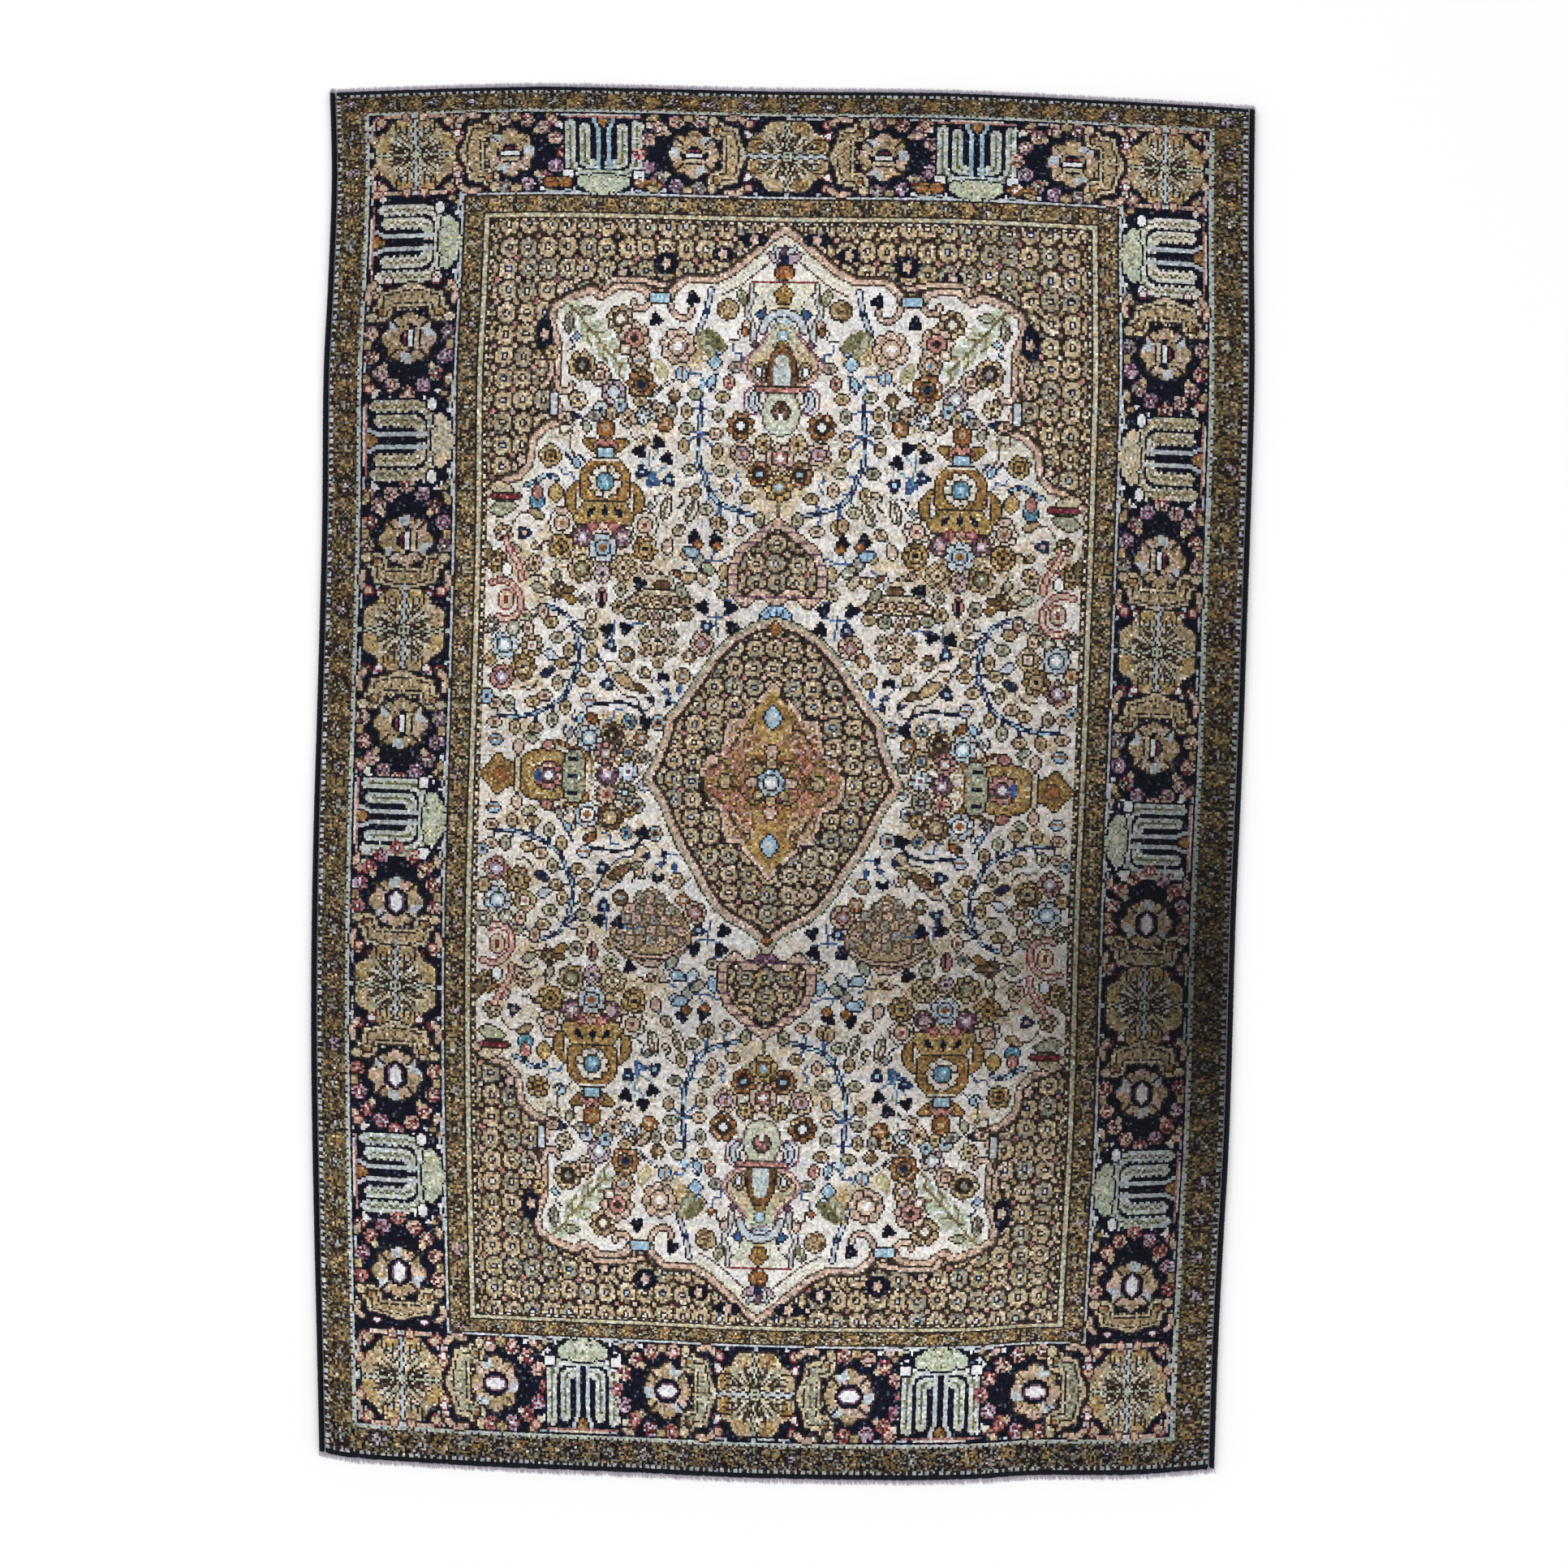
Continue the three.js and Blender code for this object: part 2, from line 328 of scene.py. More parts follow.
def fan(pen, x, y, turn, spread, count, inner, outer, ink):
    """Thin lines that spread from a place."""
    for i in range(count):
        a = math.radians(turn + spread * (i / (count - 1) - 0.5))
        c, s = math.cos(a), math.sin(a)
        pen.stem([(x + inner * c, y + inner * s), (x + outer * c, y + outer * s)], 1, ink)


def border_palmette(pen, gold):
    """Squarish palmette: fine rays on a pale ground, gold patches in its lobes and a pale wavy cross over it."""
    pen.bloom(0, 0, 20, 8, "sand", "brown", depth=0.12, start=22.5)
    pen.scatter(0, 0, 18, 18, 0.4, "tan")
    pen.scatter(0, 0, 16, 16, 0.34, "sage")
    pen.scatter(0, 0, 12, 12, 0.3, "cream")
    for turn in (90, 270):
        fan(pen, 0, 0, turn, 84, 7, 3.4, 12.5, "brown")
    for i in range(8):
        lobe = pen.at(0, 0, 22.5 + 45 * i)
        lobe.oval(0, 16, 4.4, 3.4, gold if i % 3 else "tan")
        lobe.scatter(0, 15.4, 4.4, 3, 0.2, "sand")
        lobe.stem([(0, 8), (0, 14)], 1, "bark")
        lobe.dots([(-2.6, 11.4), (2.6, 11.4)], 0.9, "cream")
    for quarter in pen.quarters():
        quarter.curve([(17, 9), (12, 8.4), (7, 4)], 1, "brown")
        quarter.curve([(15, 4.4), (10.6, 3.6), (12.6, 7), (15.6, 6.4)], 1, "brown")
        quarter.dots([(12.6, 5.4)], 0.8, "mist")
        quarter.dots([(18.6, 17)], 1.6, "blush", "madder")
        quarter.dots([(20.4, 12.6), (14.6, 20.4)], 1, "mist")
    for turn in (0, 90):
        bar = pen.at(0, 0, turn)
        wavy = [(0.6 * math.sin(t * 1.3), t) for t in range(-18, 19)]
        bar.stem(wavy, 3.2 if turn else 2.6, "brown")
        bar.stem(wavy, 1.5 if turn else 1, "mist" if turn else "celadon")
        bar.dots([(0, 20.4), (0, -20.4)], 1.3, "mist")
    pen.bloom(0, 0, 2.6, 8, "celadon", "brown", gap="brown")


def corner_hooks(pen):
    """Scrolls round a corner palmette, with a ball at each end."""
    for quarter in pen.quarters():
        quarter.curve([(20.2, 3), (20.6, 10), (19.4, 17), (15, 19.6), (8, 20)], 1.6, "blush")
        quarter.dots([(20.2, 4), (8.5, 19.6), (17.6, 15.5)], 1.9, "sand", "madder")
        quarter.dots([(14.5, 17), (11, 21)], 1, "mist")


def willow(pen, strand, light, crown, berry):
    """Weeping tree: closed pairs of strands hang in nested arcs over a pale trunk, under a lobed crown."""
    where, x, y = pen.patch(0, 0, 27)
    arc = (np.abs(x) ** 4 + (np.maximum(y, 0) * 1.34) ** 4) ** (1 / 4)
    number = np.floor((arc - 4.8) / 7)
    part = (arc - 4.8) % 7 + 0.35 * np.sin(y * 1.9 + number * 2.1)
    tip = -15.6 - 1.6 * number + 0.3 * np.abs(part - 4.3) ** 1.8
    body = (arc < 18.6) & (arc > 4.8) & (y > tip) & (part > 1.7)
    pen.lay(where, (arc < 19.8) & (y > -19), "ink")
    pen.lay(where, body, light)
    patchy = pen.random.random(x.shape)
    pen.lay(where, body & (patchy < 0.4), strand)
    pen.lay(where, body & (patchy > 0.86), "white")
    pen.lay(where, body & (np.abs(part - 4.3) < 0.6) & (y > tip + 2.6) & (y < 11),
            "olive" if light != "celadon" else "moss")
    for half in pen.halves():
        half.stem([(2.9, 9), (2.9, -13), (5, -18)], 1.9, "sky" if berry else "mist")
        half.oval(17, 11.6, 3, 2.4, "white", "ink")
        if berry:
            half.oval(18.4, 16, 3.4, 2.6, berry, "brown")
            half.dots([(25.4, 16)], 2.9, berry, "brown")
            half.scatter(22, 16, 6, 2.6, 0.2, "ochre")
        else:
            half.dots([(22, 17), (19.6, 20)], 1.3, "tan", "brown")
        half.dots([(22, -15)], 1.8, "cream")
        half.dots([(24.6, -17.6)], 1.9, "blush", "madder")
        half.curve([(11, 21), (17, 20.4), (23, 21.2), (29, 20.2)], 1, "mist")
        half.dots([(14, 19.6), (29.5, 19.8)], 1, "white")
    pen.stem([(0, -14), (0, 8)], 2, "ink")
    pen.leaf(0, -20, 90, 6, 3.4, "ochre", "rust")
    lobes = ((9.4, 15.4, 3.2), (6, 17, 4), (2.4, 16, 5), (0, 19.6, 3.2))
    for ink, edge in ((None, "ink"), (crown, None)):
        for half in pen.halves():
            for x0, y0, r in lobes:
                half.oval(x0, y0, r, r, ink, edge)
    pen.scatter(0, 17, 9, 5, 0.3, "sage")
    pen.scatter(0, 17, 9, 5, 0.16, "straw")
    pen.scatter(0, 17, 8, 4, 0.14, "cream")
    pen.stem([(-17.5, -19), (17.5, -19)], 1.1, "rose")
    pen.stem([(-12, -20.4), (12, -20.4)], 1, "cream")


def floret(pen, x, y, ink, heart="madder"):
    """Ragged small flower on a dark middle."""
    pen.bloom(x, y, 3.7, 5, heart, depth=0.3, start=float(pen.random.uniform(0, 72)))
    pen.scatter(x, y, 3.5, 3.5, 0.6, ink)
    pen.scatter(x, y, 2.4, 2.4, 0.2, "brown")
    pen.oval(x, y, 0.6, 0.6, "white")


def border_rosette(pen, petal, bright):
    """Round flower with bars across its dark heart, and a horseshoe of ragged florets away from its frame."""
    where, x, y = pen.patch(0, 0, 15)
    away, angle = np.hypot(x, y / 1.06), np.arctan2(y, x)
    rim = 11.8 * (0.86 + 0.14 * np.abs(np.cos(angle * 4)))
    pen.lay(where, away < rim + 1, "brown")
    pen.lay(where, away < rim, petal)
    pen.lay(where, (away < rim) & (drift(x.shape, (3, 3), int(pen.random.integers(99))) > 0.1), "blush")
    pen.lay(where, (away < rim) & (away > 7) & (np.sin(angle * 3 + 2) > 0.7), "mist")
    pen.lay(where, (away < rim - 0.4) & (away > 7) & (np.abs(np.sin(angle * 4)) * away < 2.2)
            & (np.cos(angle * 4) < 0), "brown")
    pen.oval(0, 0, 6.8, 6, "ink")
    if bright:
        pen.oval(0, 0, 4.8, 2.4, "white", "mauve")
    else:
        pen.curve([(-5, -1), (-3.4, -4.4), (0, -5.2), (3.4, -4.4), (5, -1)], 1.7, petal)
        pen.box(0, -2, 3, 0.8, "madder")
        pen.box(0, 0.4, 4, 0.8, "white")
        pen.box(0, 3.4, 4.6, 0.8, "sand")
    inks = ("rose", "blush", "lilac", "blush") if bright else ("blush", "lilac", "blush", "grey")
    spots = ((26, 0), (22, 7.4), (22, -7.4), (16.4, 13), (16.4, -13), (8.6, 17), (8.6, -17), (-2.5, 18),
             (-2.5, -18))
    for i, (px, py) in enumerate(spots):
        floret(pen, px, py, inks[i % 4], "madder" if bright or i % 3 == 0 else "mauve")
    for end in (-1, 1):
        half = pen.mirrored(1, end)
        half.oval(3, 19, 2.4, 2, "tan", "brown")
        half.oval(13, 11.4, 1.6, 1.6, "sand")
        half.leaf(17, 20, -20, 6, 3, "blush" if bright else "tan", "brown")
        half.dots([(28, 8), (24.6, 14), (27, 16)], 1.1, "white")


def bracket(pen, ink, edge):
    """Frame across the border: a bar with an arm at each end towards the rosette, and knobs on its back."""
    across = pen.at(0, 0, -90)
    across.twin([(0, 4.4), (8, 4.4), (9.6, 10.4), (17.4, 10.8), (18, 5), (15.6, 3.4), (14.6, -2.6), (6.4, -4.6),
                 (2.6, -6.6),
                 (0, -6.6)], edge, "brown")
    across.twin([(0, 3.2), (9, 3.2), (10.8, 9), (16, 9.2), (16.2, 5.6), (14, 4), (13.4, -1.2), (6, -3.4),
                 (0, -4.6)], "brown")
    across.twin([(0, 2.2), (9.8, 2.2), (11.8, 8), (15, 8.2), (15, 6), (12.8, 4.4), (12.4, -0.4), (5.6, -2.4),
                 (0, -3.4)], ink)
    across.scatter(0, 1, 15, 5, 0.18, edge)
    across.dots([(-5, 0), (0, -0.8), (5, 0)], 0.9, "umber")
    for half in across.halves():
        half.curve([(19.4, 2), (20.2, -3), (17.6, -6.6)], 2.4, "blush", "brown")
        half.dots([(13.6, 6.6)], 1.1, "rust")
        half.oval(18, 9, 2.2, 2, "sand", "brown")
        half.dots([(11, -8.4)], 1.4, "white", "madder")


# Places along the side and end borders, in knots from the corner, and the way that each unit looks
SIDE_UNITS = (
    (BORDER_MIDDLE, "palmette", -1), (83, "willow", 1), (109, "bracket", 1), (128, "rosette", 1),
    (176, "willow", 1),
    (223, "rosette", -1), (240, "bracket", -1), (265, "palmette", 1), (291, "bracket", 1), (309, "rosette", 1),
    (353.5, "willow", 1), (394, "rosette", -1), (411, "bracket", -1), (434, "palmette", -1), (458, "bracket", 1),
    (477, "rosette", 1), (524, "willow", 1), (571, "rosette", -1), (589, "bracket", -1),
    (ROWS - BORDER_MIDDLE, "palmette", 1),
)
END_UNITS = (
    (65, "bracket", 1), (81.5, "rosette", 1), (126.5, "willow", 1), (170, "rosette", -1), (188, "bracket", -1),
    (215, "palmette", 1), (242, "bracket", 1), (260, "rosette", 1), (303.5, "willow", 1), (348.5, "rosette", -1),
    (365, "bracket", -1),
)


def border_unit(pen, kind, number, at_end, low):
    """One unit of the main border, in the colours that it has at the ends, at the sides and in the lower half."""
    if kind == "palmette":
        border_palmette(pen, "ochre" if at_end else "gold")
    elif kind == "willow":
        if at_end or low:
            inks = ("mist", "celadon", "celadon")
        else:
            inks = (("sage", "sand", "honey"), ("celadon", "cream", "celadon"))[number % 2]
        willow(pen, *inks, "rust" if at_end and not low else None)
    elif kind == "rosette":
        border_rosette(pen, "tan" if number % 2 else "sand", low)
    else:
        bracket(pen, "sage" if low and at_end else "tan", "sand")


def guard(pen, d, span, radius, clear):
    """Row of small flowers along one side: gold-brown ones and dark dotted ones by turns."""
    count = 2 * round(span / 9.4 / 2) + 1
    for i in range(count):
        x = (i - (count - 1) / 2) * span / (count - 1) + float(pen.random.uniform(-0.9, 0.9))
        y = d + float(pen.random.uniform(-1, 1))
        if i % 2:
            pen.scatter(x, y, radius, radius, 0.34 + 0.34 * clear, "ochre")
            pen.scatter(x, y, radius * 0.8, radius * 0.8, 0.22, "gold" if clear else "tan")
            pen.scatter(x, y, radius, radius, 0.2, "bark")
            pen.stem([(x - radius, y - radius), (x - radius * 0.4, y + radius)], 1, "brown")
            pen.dots([(x, y)], 0.8, "umber")
        else:
            pen.scatter(x, y, radius, radius, 0.6, "brown")
            pen.scatter(x, y, radius * 0.7, radius * 0.7, 0.3, "grey" if pen.random.random() < 0.7 else "lilac")
            pen.dots([(x, y)], 0.6, "mist")


def borders(chart, seed):
    """Beads, guards, lines and the main border, as stripes counted in from the edge of the pile."""
    rows, columns = np.mgrid[0:ROWS, 0:COLUMNS]
    side = np.minimum(columns, COLUMNS - 1 - columns)
    end = np.minimum(rows, ROWS - 1 - rows)
    deep = np.minimum(side, end)
    along = np.where(side < end, rows, columns)
    rng = np.random.default_rng(seed)
    mottle = rng.random(chart.shape)

    def band(stripe):
        return (deep >= stripe[0]) & (deep < stripe[1])

    def dye(mask, ink):
        chart[mask] = INK[ink]

    dye(band((0, BORDER)), "ink")
    dye(band(BEADS), "brown")
    dye(band(BEADS) & ((along * 10) % 33 < 17) & (mottle < 0.86), "mist")
    guards = band(OUTER_GUARD) | band(INNER_GUARD)
    dye(guards, "olive")
    for low, high, ink in ((0, 0.26, "umber"), (0.26, 0.45, "brown"), (0.45, 0.58, "moss"), (0.58, 0.65, "tan"),
                           (0.65, 0.77, "ink"), (0.77, 0.81, "grey")):
        dye(guards & (mottle >= low) & (mottle < high), ink)
    pen = Pen(chart, seed)
    for turn in (0, 180, 90, 270):
        clear = turn in (0, 180)
        half, span = (ROWS / 2, COLUMNS - 16) if clear else (COLUMNS / 2, ROWS - 16)
        side_pen = pen.at(0, 0, turn)
        guard(side_pen, half - sum(OUTER_GUARD) / 2, span, 4.6, clear)
        guard(side_pen, half - sum(INNER_GUARD) / 2, span - 114, 3.6, clear)
    second_mottle = rng.random(chart.shape)
    dye(band(INNER_GUARD) & (second_mottle < 0.16), "tan")
    # At the bottom end the outer guard gets more black and grey knots: darker towards the bottom.
    foot = (ROWS - 1 - rows < OUTER_GUARD[1]) & (deep >= OUTER_GUARD[0])
    dye(foot & (second_mottle < 0.2), "ink")
    dye(foot & (second_mottle > 0.86), "grey")
    dye(band(OUTER_LINE), "mist")
    dye(band(OUTER_LINE) & (mottle < 0.4), "celadon")
    dye((deep == OUTER_LINE[0]) & (along % 3 == 0) & (mottle > 0.3), "brown")
    dye((deep == OUTER_LINE[1] + 1) & (along // 8 * 5 % 7 < 3) & (mottle < 0.8), "mist")
    dye(band(INNER_LINE), "mist")
    dye(band(INNER_GAP), "brown")
    dye(band(FIELD_LINES), "brown")
    dye(band(PALE_LINE), "sand")
    dye((deep == BORDER - 1) & (second_mottle < 0.35), "tan")
    dotted = (deep == BORDER - 2) & (along % 4 < 2)
    dye((deep == BORDER - 3) & (second_mottle > 0.7), "umber")
    dye(dotted & (mottle < 0.8), "bark")
    dye(dotted & (mottle < 0.7), "cream")
    dye(band(PALE_LINE) & (mottle > 0.9), "gold")
    dye(band(PALE_LINE) & (mottle < 0.45), "celadon")
    for turn, flip in ((90, -1), (-90, 1), (180, -1), (0, 1)):
        at_end = turn in (0, 180)
        for number, (place, kind, look) in enumerate(END_UNITS if at_end else SIDE_UNITS):
            if at_end:
                x, y = place - COLUMNS / 2, -flip * (ROWS / 2 - BORDER_MIDDLE)
            else:
                x, y = -flip * (COLUMNS / 2 - BORDER_MIDDLE), ROWS / 2 - place
            unit = pen.at(x, y, turn, flip=flip * look)
            border_unit(unit, kind, number, at_end, y < -20)
            if not at_end and number in (0, len(SIDE_UNITS) - 1):
                corner_hooks(unit)


# Field. Places are given for one quarter: x away from the long axis, y away from the middle line.

OGEE = [(0, 255), (6, 251), (15, 243), (25, 235), (33, 231), (47, 231), (53, 226), (55, 221), (64, 221), (66, 225),
        (71, 227), (80, 227), (88, 222), (92, 225), (101, 222), (110, 217), (111, 209), (107, 199), (107, 190),
        (108, 176),
        (104, 164), (111, 162), (118, 156), (120, 144), (125, 138), (133, 136), (140, 130)]
MEDALLION = [(0, 74), (10, 71), (20, 65), (28, 57), (34, 48), (45, 32), (49, 28), (50, 20), (53, 12), (56, 5),
             (59, 0)]
MEDALLION_LOW = [(0, 79), (4, 72), (10, 68), (18, 64), (24, 59), (30, 51), (34, 43), (42, 31), (47, 21), (51, 11),
                 (56, 4), (59, 0)]
PANEL = [(0, 45), (6, 38), (12, 31.6), (13, 28.4), (20, 28), (22, 22), (23, 12.6), (29, 11), (33, 5), (33, 0)]
TREFOIL = [(0, 120), (7, 115), (13, 110), (18, 106), (21, 98), (21, 88), (15, 82.6), (10, 87), (5, 87), (0, 83)]


def lattice(pen, where, mask, wide, high, half_x, half_y, ground="brown"):
    """Rows of small rosettes that touch, each a little out of line, with a floret where four of them meet."""
    full = np.zeros(pen.chart.shape, bool)
    full[where] = mask
    pen.lay(where, mask, ground)
    pen.lay(where, mask & (drift(mask.shape, (30, 20), 5) > 0.2), "ink")
    plot = pen.at(0, 0)
    plot.within = full if pen.within is None else full & pen.within
    across, along = int(half_x / wide) + 1, int(half_y / high) + 1
    places = [(i, j) for j in range(-along, along + 1) for i in range(-across, across + 1)]
    for i, j in places:
        plot.oval((i + 0.5) * wide, (j + 0.5) * high, 1.3, 1.3, ("blush", "tan", "rose")[(i + 2 * j) % 3])
    for i, j in places:
        dx, dy, turn, pick = pen.random.uniform(-1, 1, 4)
        x, y = i * wide + 0.5 * dx, j * high + 0.5 * dy
        rx, ry = wide / 2 - 0.5, high / 2 - 0.5
        spot, px, py = plot.patch(x, y, max(rx, ry) + 1)
        if not (px.size and full[spot].any()):
            continue
        angle = np.arctan2(py - y, px - x) + 0.2 * turn
        away = np.hypot((px - x) / rx, (py - y) / ry)
        rim = 0.95 + 0.12 * np.abs(np.cos(angle * 4))
        mixed = pen.random.random(px.shape)
        plot.lay(spot, away <= rim, "gold" if pick < -0.86 else "tan", "brown")
        plot.lay(spot, (away <= rim) & (mixed < 0.46), "sand" if pick > -0.3 else "grey")
        plot.lay(spot, (away <= rim) & (mixed > 0.86), "blush" if pick > 0 else "sage")
        plot.lay(spot, (away < rim) & (away > 0.78) & (np.abs(np.cos(angle * 4)) < 0.24), "bark")
        plot.lay(spot, away < 0.43, "navy" if pick * 7 % 1 < 0.2 else "brown")
        plot.lay(spot, away < 0.19, "cream" if turn > -0.3 else "mist")


def field_ground(pen):
    """Ivory ground within a stepped ogee line, and rosette lattice in the four corners outside it."""
    where, x, y = pen.patch(0, 0, 300)
    ax, ay = np.abs(x), np.abs(y)
    field = (ax < FIELD_X) & (ay < FIELD_Y)
    inner = inside([(0, 0), *OGEE, (145, 130), (145, 0)], ax, ay)
    gap = line_distance(OGEE, ax, ay)
    outer = field & ~inner
    lattice(pen, where, outer, 9.5, 10.2, FIELD_X, FIELD_Y)
    pen.lay(where, outer & (gap < 3.2), "brown")
    pen.lay(where, field & inner, "ivory")
    pen.lay(where, field & (gap < 2.2), "bark")
    pen.lay(where, field & (gap < 1.3), "blush")
    hatch = field & inner & (gap >= 2.2) & (gap < 6.2) & ((ax < 34) | (ay < 166))
    pen.lay(where, hatch & ((gap < 4) | ((ax + 2 * ay).astype(int) % 4 < 2)), "cream")
    pen.lay(where, hatch & ((ax + 2 * ay).astype(int) % 4 == 0), "celadon")
    pen.lay(where, field & inner & (gap >= 7) & (gap < 7.9) & (ax < 30), "bark")


def ogee_scrolls(pen):
    """Hooks and pale bars that the ogee line ends in and carries, with black patches beside them."""
    for x, y, rx, ry in ((57, 238, 6, 5), (15, 250, 7, 3.4), (30, 243, 5, 3.6), (114, 204, 4, 9), (78, 233, 5, 3),
                         (124, 146, 3, 4)):
        pen.oval(x, y, rx, ry, "ink")
        pen.bloom(x, y, 2.6, 5, "blush", depth=0.3)
    for line in ([(55, 221), (53, 216), (49, 213), (45, 214), (44, 217)],
                 [(64, 221), (67, 217), (71, 217), (72, 220)],
                 [(108, 184), (106, 179), (102, 178), (100, 181)], [(105, 164), (101, 164), (99, 167)],
                 [(58, 228), (70, 230), (82, 230), (86, 226)], [(113, 196), (110, 190), (111, 184), (114, 180)]):
        pen.curve(line, 2, "blush", "brown")
    pen.box(59.5, 222, 4.2, 2.2, "sky", "brown")
    pen.box(108.5, 172, 1.8, 5, "mist", "brown")
    pen.box(131, 129, 7, 0.9, "madder", "brown")
    pen.leaf(139, 122, 168, 14, 6, "sage", "brown")
    pen.leaf(139, 134, 190, 12, 5, "sand", "brown")


def vase(pen):
    """Tall pale vase on the long axis, from its apex flower down to the bunch below its foot."""
    for turn, ink in ((150, "lilac"), (120, "mist"), (90, "mauve"), (60, "mist"), (30, "lilac")):
        pen.leaf(0, 239, turn, 9.5, 3.6, ink, "brown")
    pen.oval(0, 241, 2.4, 2, "navy")
    pen.twin([(0, 238), (3.4, 237), (4.4, 234), (3, 232), (0, 232)], "rust", "brown")
    pen.twin([(0, 230), (14, 230), (14, 226), (10, 223), (8, 219), (8, 213), (0, 213)], "cream", "brown")
    pen.scatter(0, 224, 13, 8, 0.4, "celadon")
    pen.stem([(-14, 230.6), (14, 230.6)], 1.4, "madder")
    pen.bloom(0, 224.6, 4, 5, "ochre", "brown", start=90, gap="umber")
    pen.oval(0, 218.6, 2.6, 1.6, "gold")
    bell = smooth([(0, 212), (3.4, 211), (7.6, 206.4), (12.4, 200.4), (17.6, 194.6), (18.4, 190.6), (14, 185),
                   (8, 182.6), (0, 182.6)])
    pen.twin(bell, "blush", "mauve")
    pen.at(0, 24, size=0.88).twin(bell, "sand", "mauve")
    pen.scatter(0, 206, 7, 7, 0.6, "celadon")
    pen.scatter(0, 190, 15, 8, 0.3, "tan")
    pen.curve([(-10, 208), (-7, 214), (0, 216.6), (7, 214), (10, 208)], 3, "mist", "brown")
    pen.scatter(0, 214, 8, 3, 0.3, "sky")
    pen.bloom(0, 200, 3.4, 6, "ochre", "brown", gap="umber")
    pen.twin(smooth([(0, 200.6), (3.4, 199), (5.8, 194), (6.4, 188), (6, 182.6), (0, 182.6)]), "umber", "brown")
    pen.scatter(0, 193, 6, 8, 0.4, "rust")
    pen.twin(smooth([(0, 197.6), (2.6, 195.4), (3.8, 190), (3.8, 182.6), (0, 182.6)]), "mist")
    pen.scatter(0, 190, 3.4, 7, 0.3, "celadon")
    pen.oval(0, 206, 2.4, 2, "sky", "moss")
    pen.stem([(-10.6, 181), (10.6, 181)], 2.2, "rose", "brown")
    for half in pen.halves():
        half.oval(10.8, 189.4, 2.8, 3.6, "tan", "brown")
        half.oval(10.8, 189.4, 1, 2, "white", "navy")
        half.curve([(15.6, 229), (15.4, 222), (17.6, 217), (14.6, 210), (13.6, 203)], 1.7, "mist", "bark")
        half.dots([(13.4, 201.6)], 1.4, "mauve", "brown")
        half.oval(17.4, 210, 1.6, 2.6, "blush", "brown")
        half.curve([(12, 183), (17.4, 179), (17, 172), (12.4, 169), (9, 172)], 1, "mauve")
        half.curve([(13, 179), (14.4, 175), (12, 172)], 2, "mist", "navy")
        half.oval(8.6, 177, 1.6, 2.6, "cream", "navy")
    pen.twin(smooth([(0, 179), (5, 179), (8, 174), (8.4, 168), (5.4, 162), (0, 160)]), "celadon", "bark")
    pen.scatter(0, 170, 8, 9, 0.3, "cream")
    pen.bloom(0, 171.4, 4, 6, "bark", "brown", gap="brown")
    pen.scatter(0, 171.4, 3, 3, 0.5, "rose")
    pen.oval(0, 168.6, 1.3, 1.6, "white")
    for x, *flower in ((19, 164, 5.6, "rust", "white", "brown"), (8, 156, 4, "tan", "brown", "gold"),
                       (18, 151.5, 5, "blush", "rust", "lilac"), (9.4, 142, 5.2, "rust", "sky", "brown")):
        for side in (-1, 1):
            pen.flower(x * side, *flower)
    pen.flower(0, 149.5, 6, "blush", "white", "rose")
    pen.flower(0, 136, 6, "gold", "sky", "ochre")
    pen.stem([(0, 129), (0, 121)], 1.2, "moss")


def berries(pen, places, inks, edge="brown"):
    """Small scalloped berries with a dark outline and a dark eye."""
    for i, (x, y) in enumerate(places):
        pen.bloom(x, y, 2.8, 6, inks[i % len(inks)], edge, depth=0.24, start=30 * i)
        pen.scatter(x, y, 2.4, 2.4, 0.2, "sand")
        pen.scatter(x, y, 1.5, 1.5, 0.85, "bark")


def twig(pen, points, fill="sky", edge="navy", width=2.4):
    """A bough in two colours, with the darker one showing in bars."""
    line = smooth(points)
    pen.stem(line, width + 0.6, edge)
    for i, (a, b) in enumerate(zip(line, line[1:])):
        if i % 5 < 3:
            pen.stem([a, b], max(width - 0.9, 0.9), fill)


def sprays(pen, line, berries_at, ink="blue"):
    """Thin stalks from a bough to its berries."""
    for x, y in berries_at:
        bx, by = min(line, key=lambda p: (p[0] - x) ** 2 + (p[1] - y - 4) ** 2)
        pen.stem([(bx, by), (x, y)], 1, ink)


def blotch(pen, x, y, ink="ink", heart=None):
    """Three-lobed dark flower seen from the side."""
    turn = float(pen.random.uniform(0, 360))
    for i in range(3):
        a = math.radians(turn + 120 * i)
        pen.oval(x + 1.7 * math.cos(a), y + 1.7 * math.sin(a), 2, 2, ink)
    if heart:
        pen.oval(x, y, 0.8, 0.8, heart)


def feather(pen, x, y, turn, length, width, ink="cream"):
    """Long leaf with a dark outline and hatched sides."""
    pen.leaf(x, y, turn, length, width, ink, "brown", "moss")
    side = pen.at(x, y, turn - 90)
    for t in np.arange(2.5, length - 2, 2.4):
        side.stem([(0, t), (width * 0.4, t + 1.6)], 0.9, "bark")


def bunch(pen, flowers):
    """Open flowers, one on another: place, radius, petal, heart and inner ring."""
    for flower in flowers:
        pen.flower(*flower)


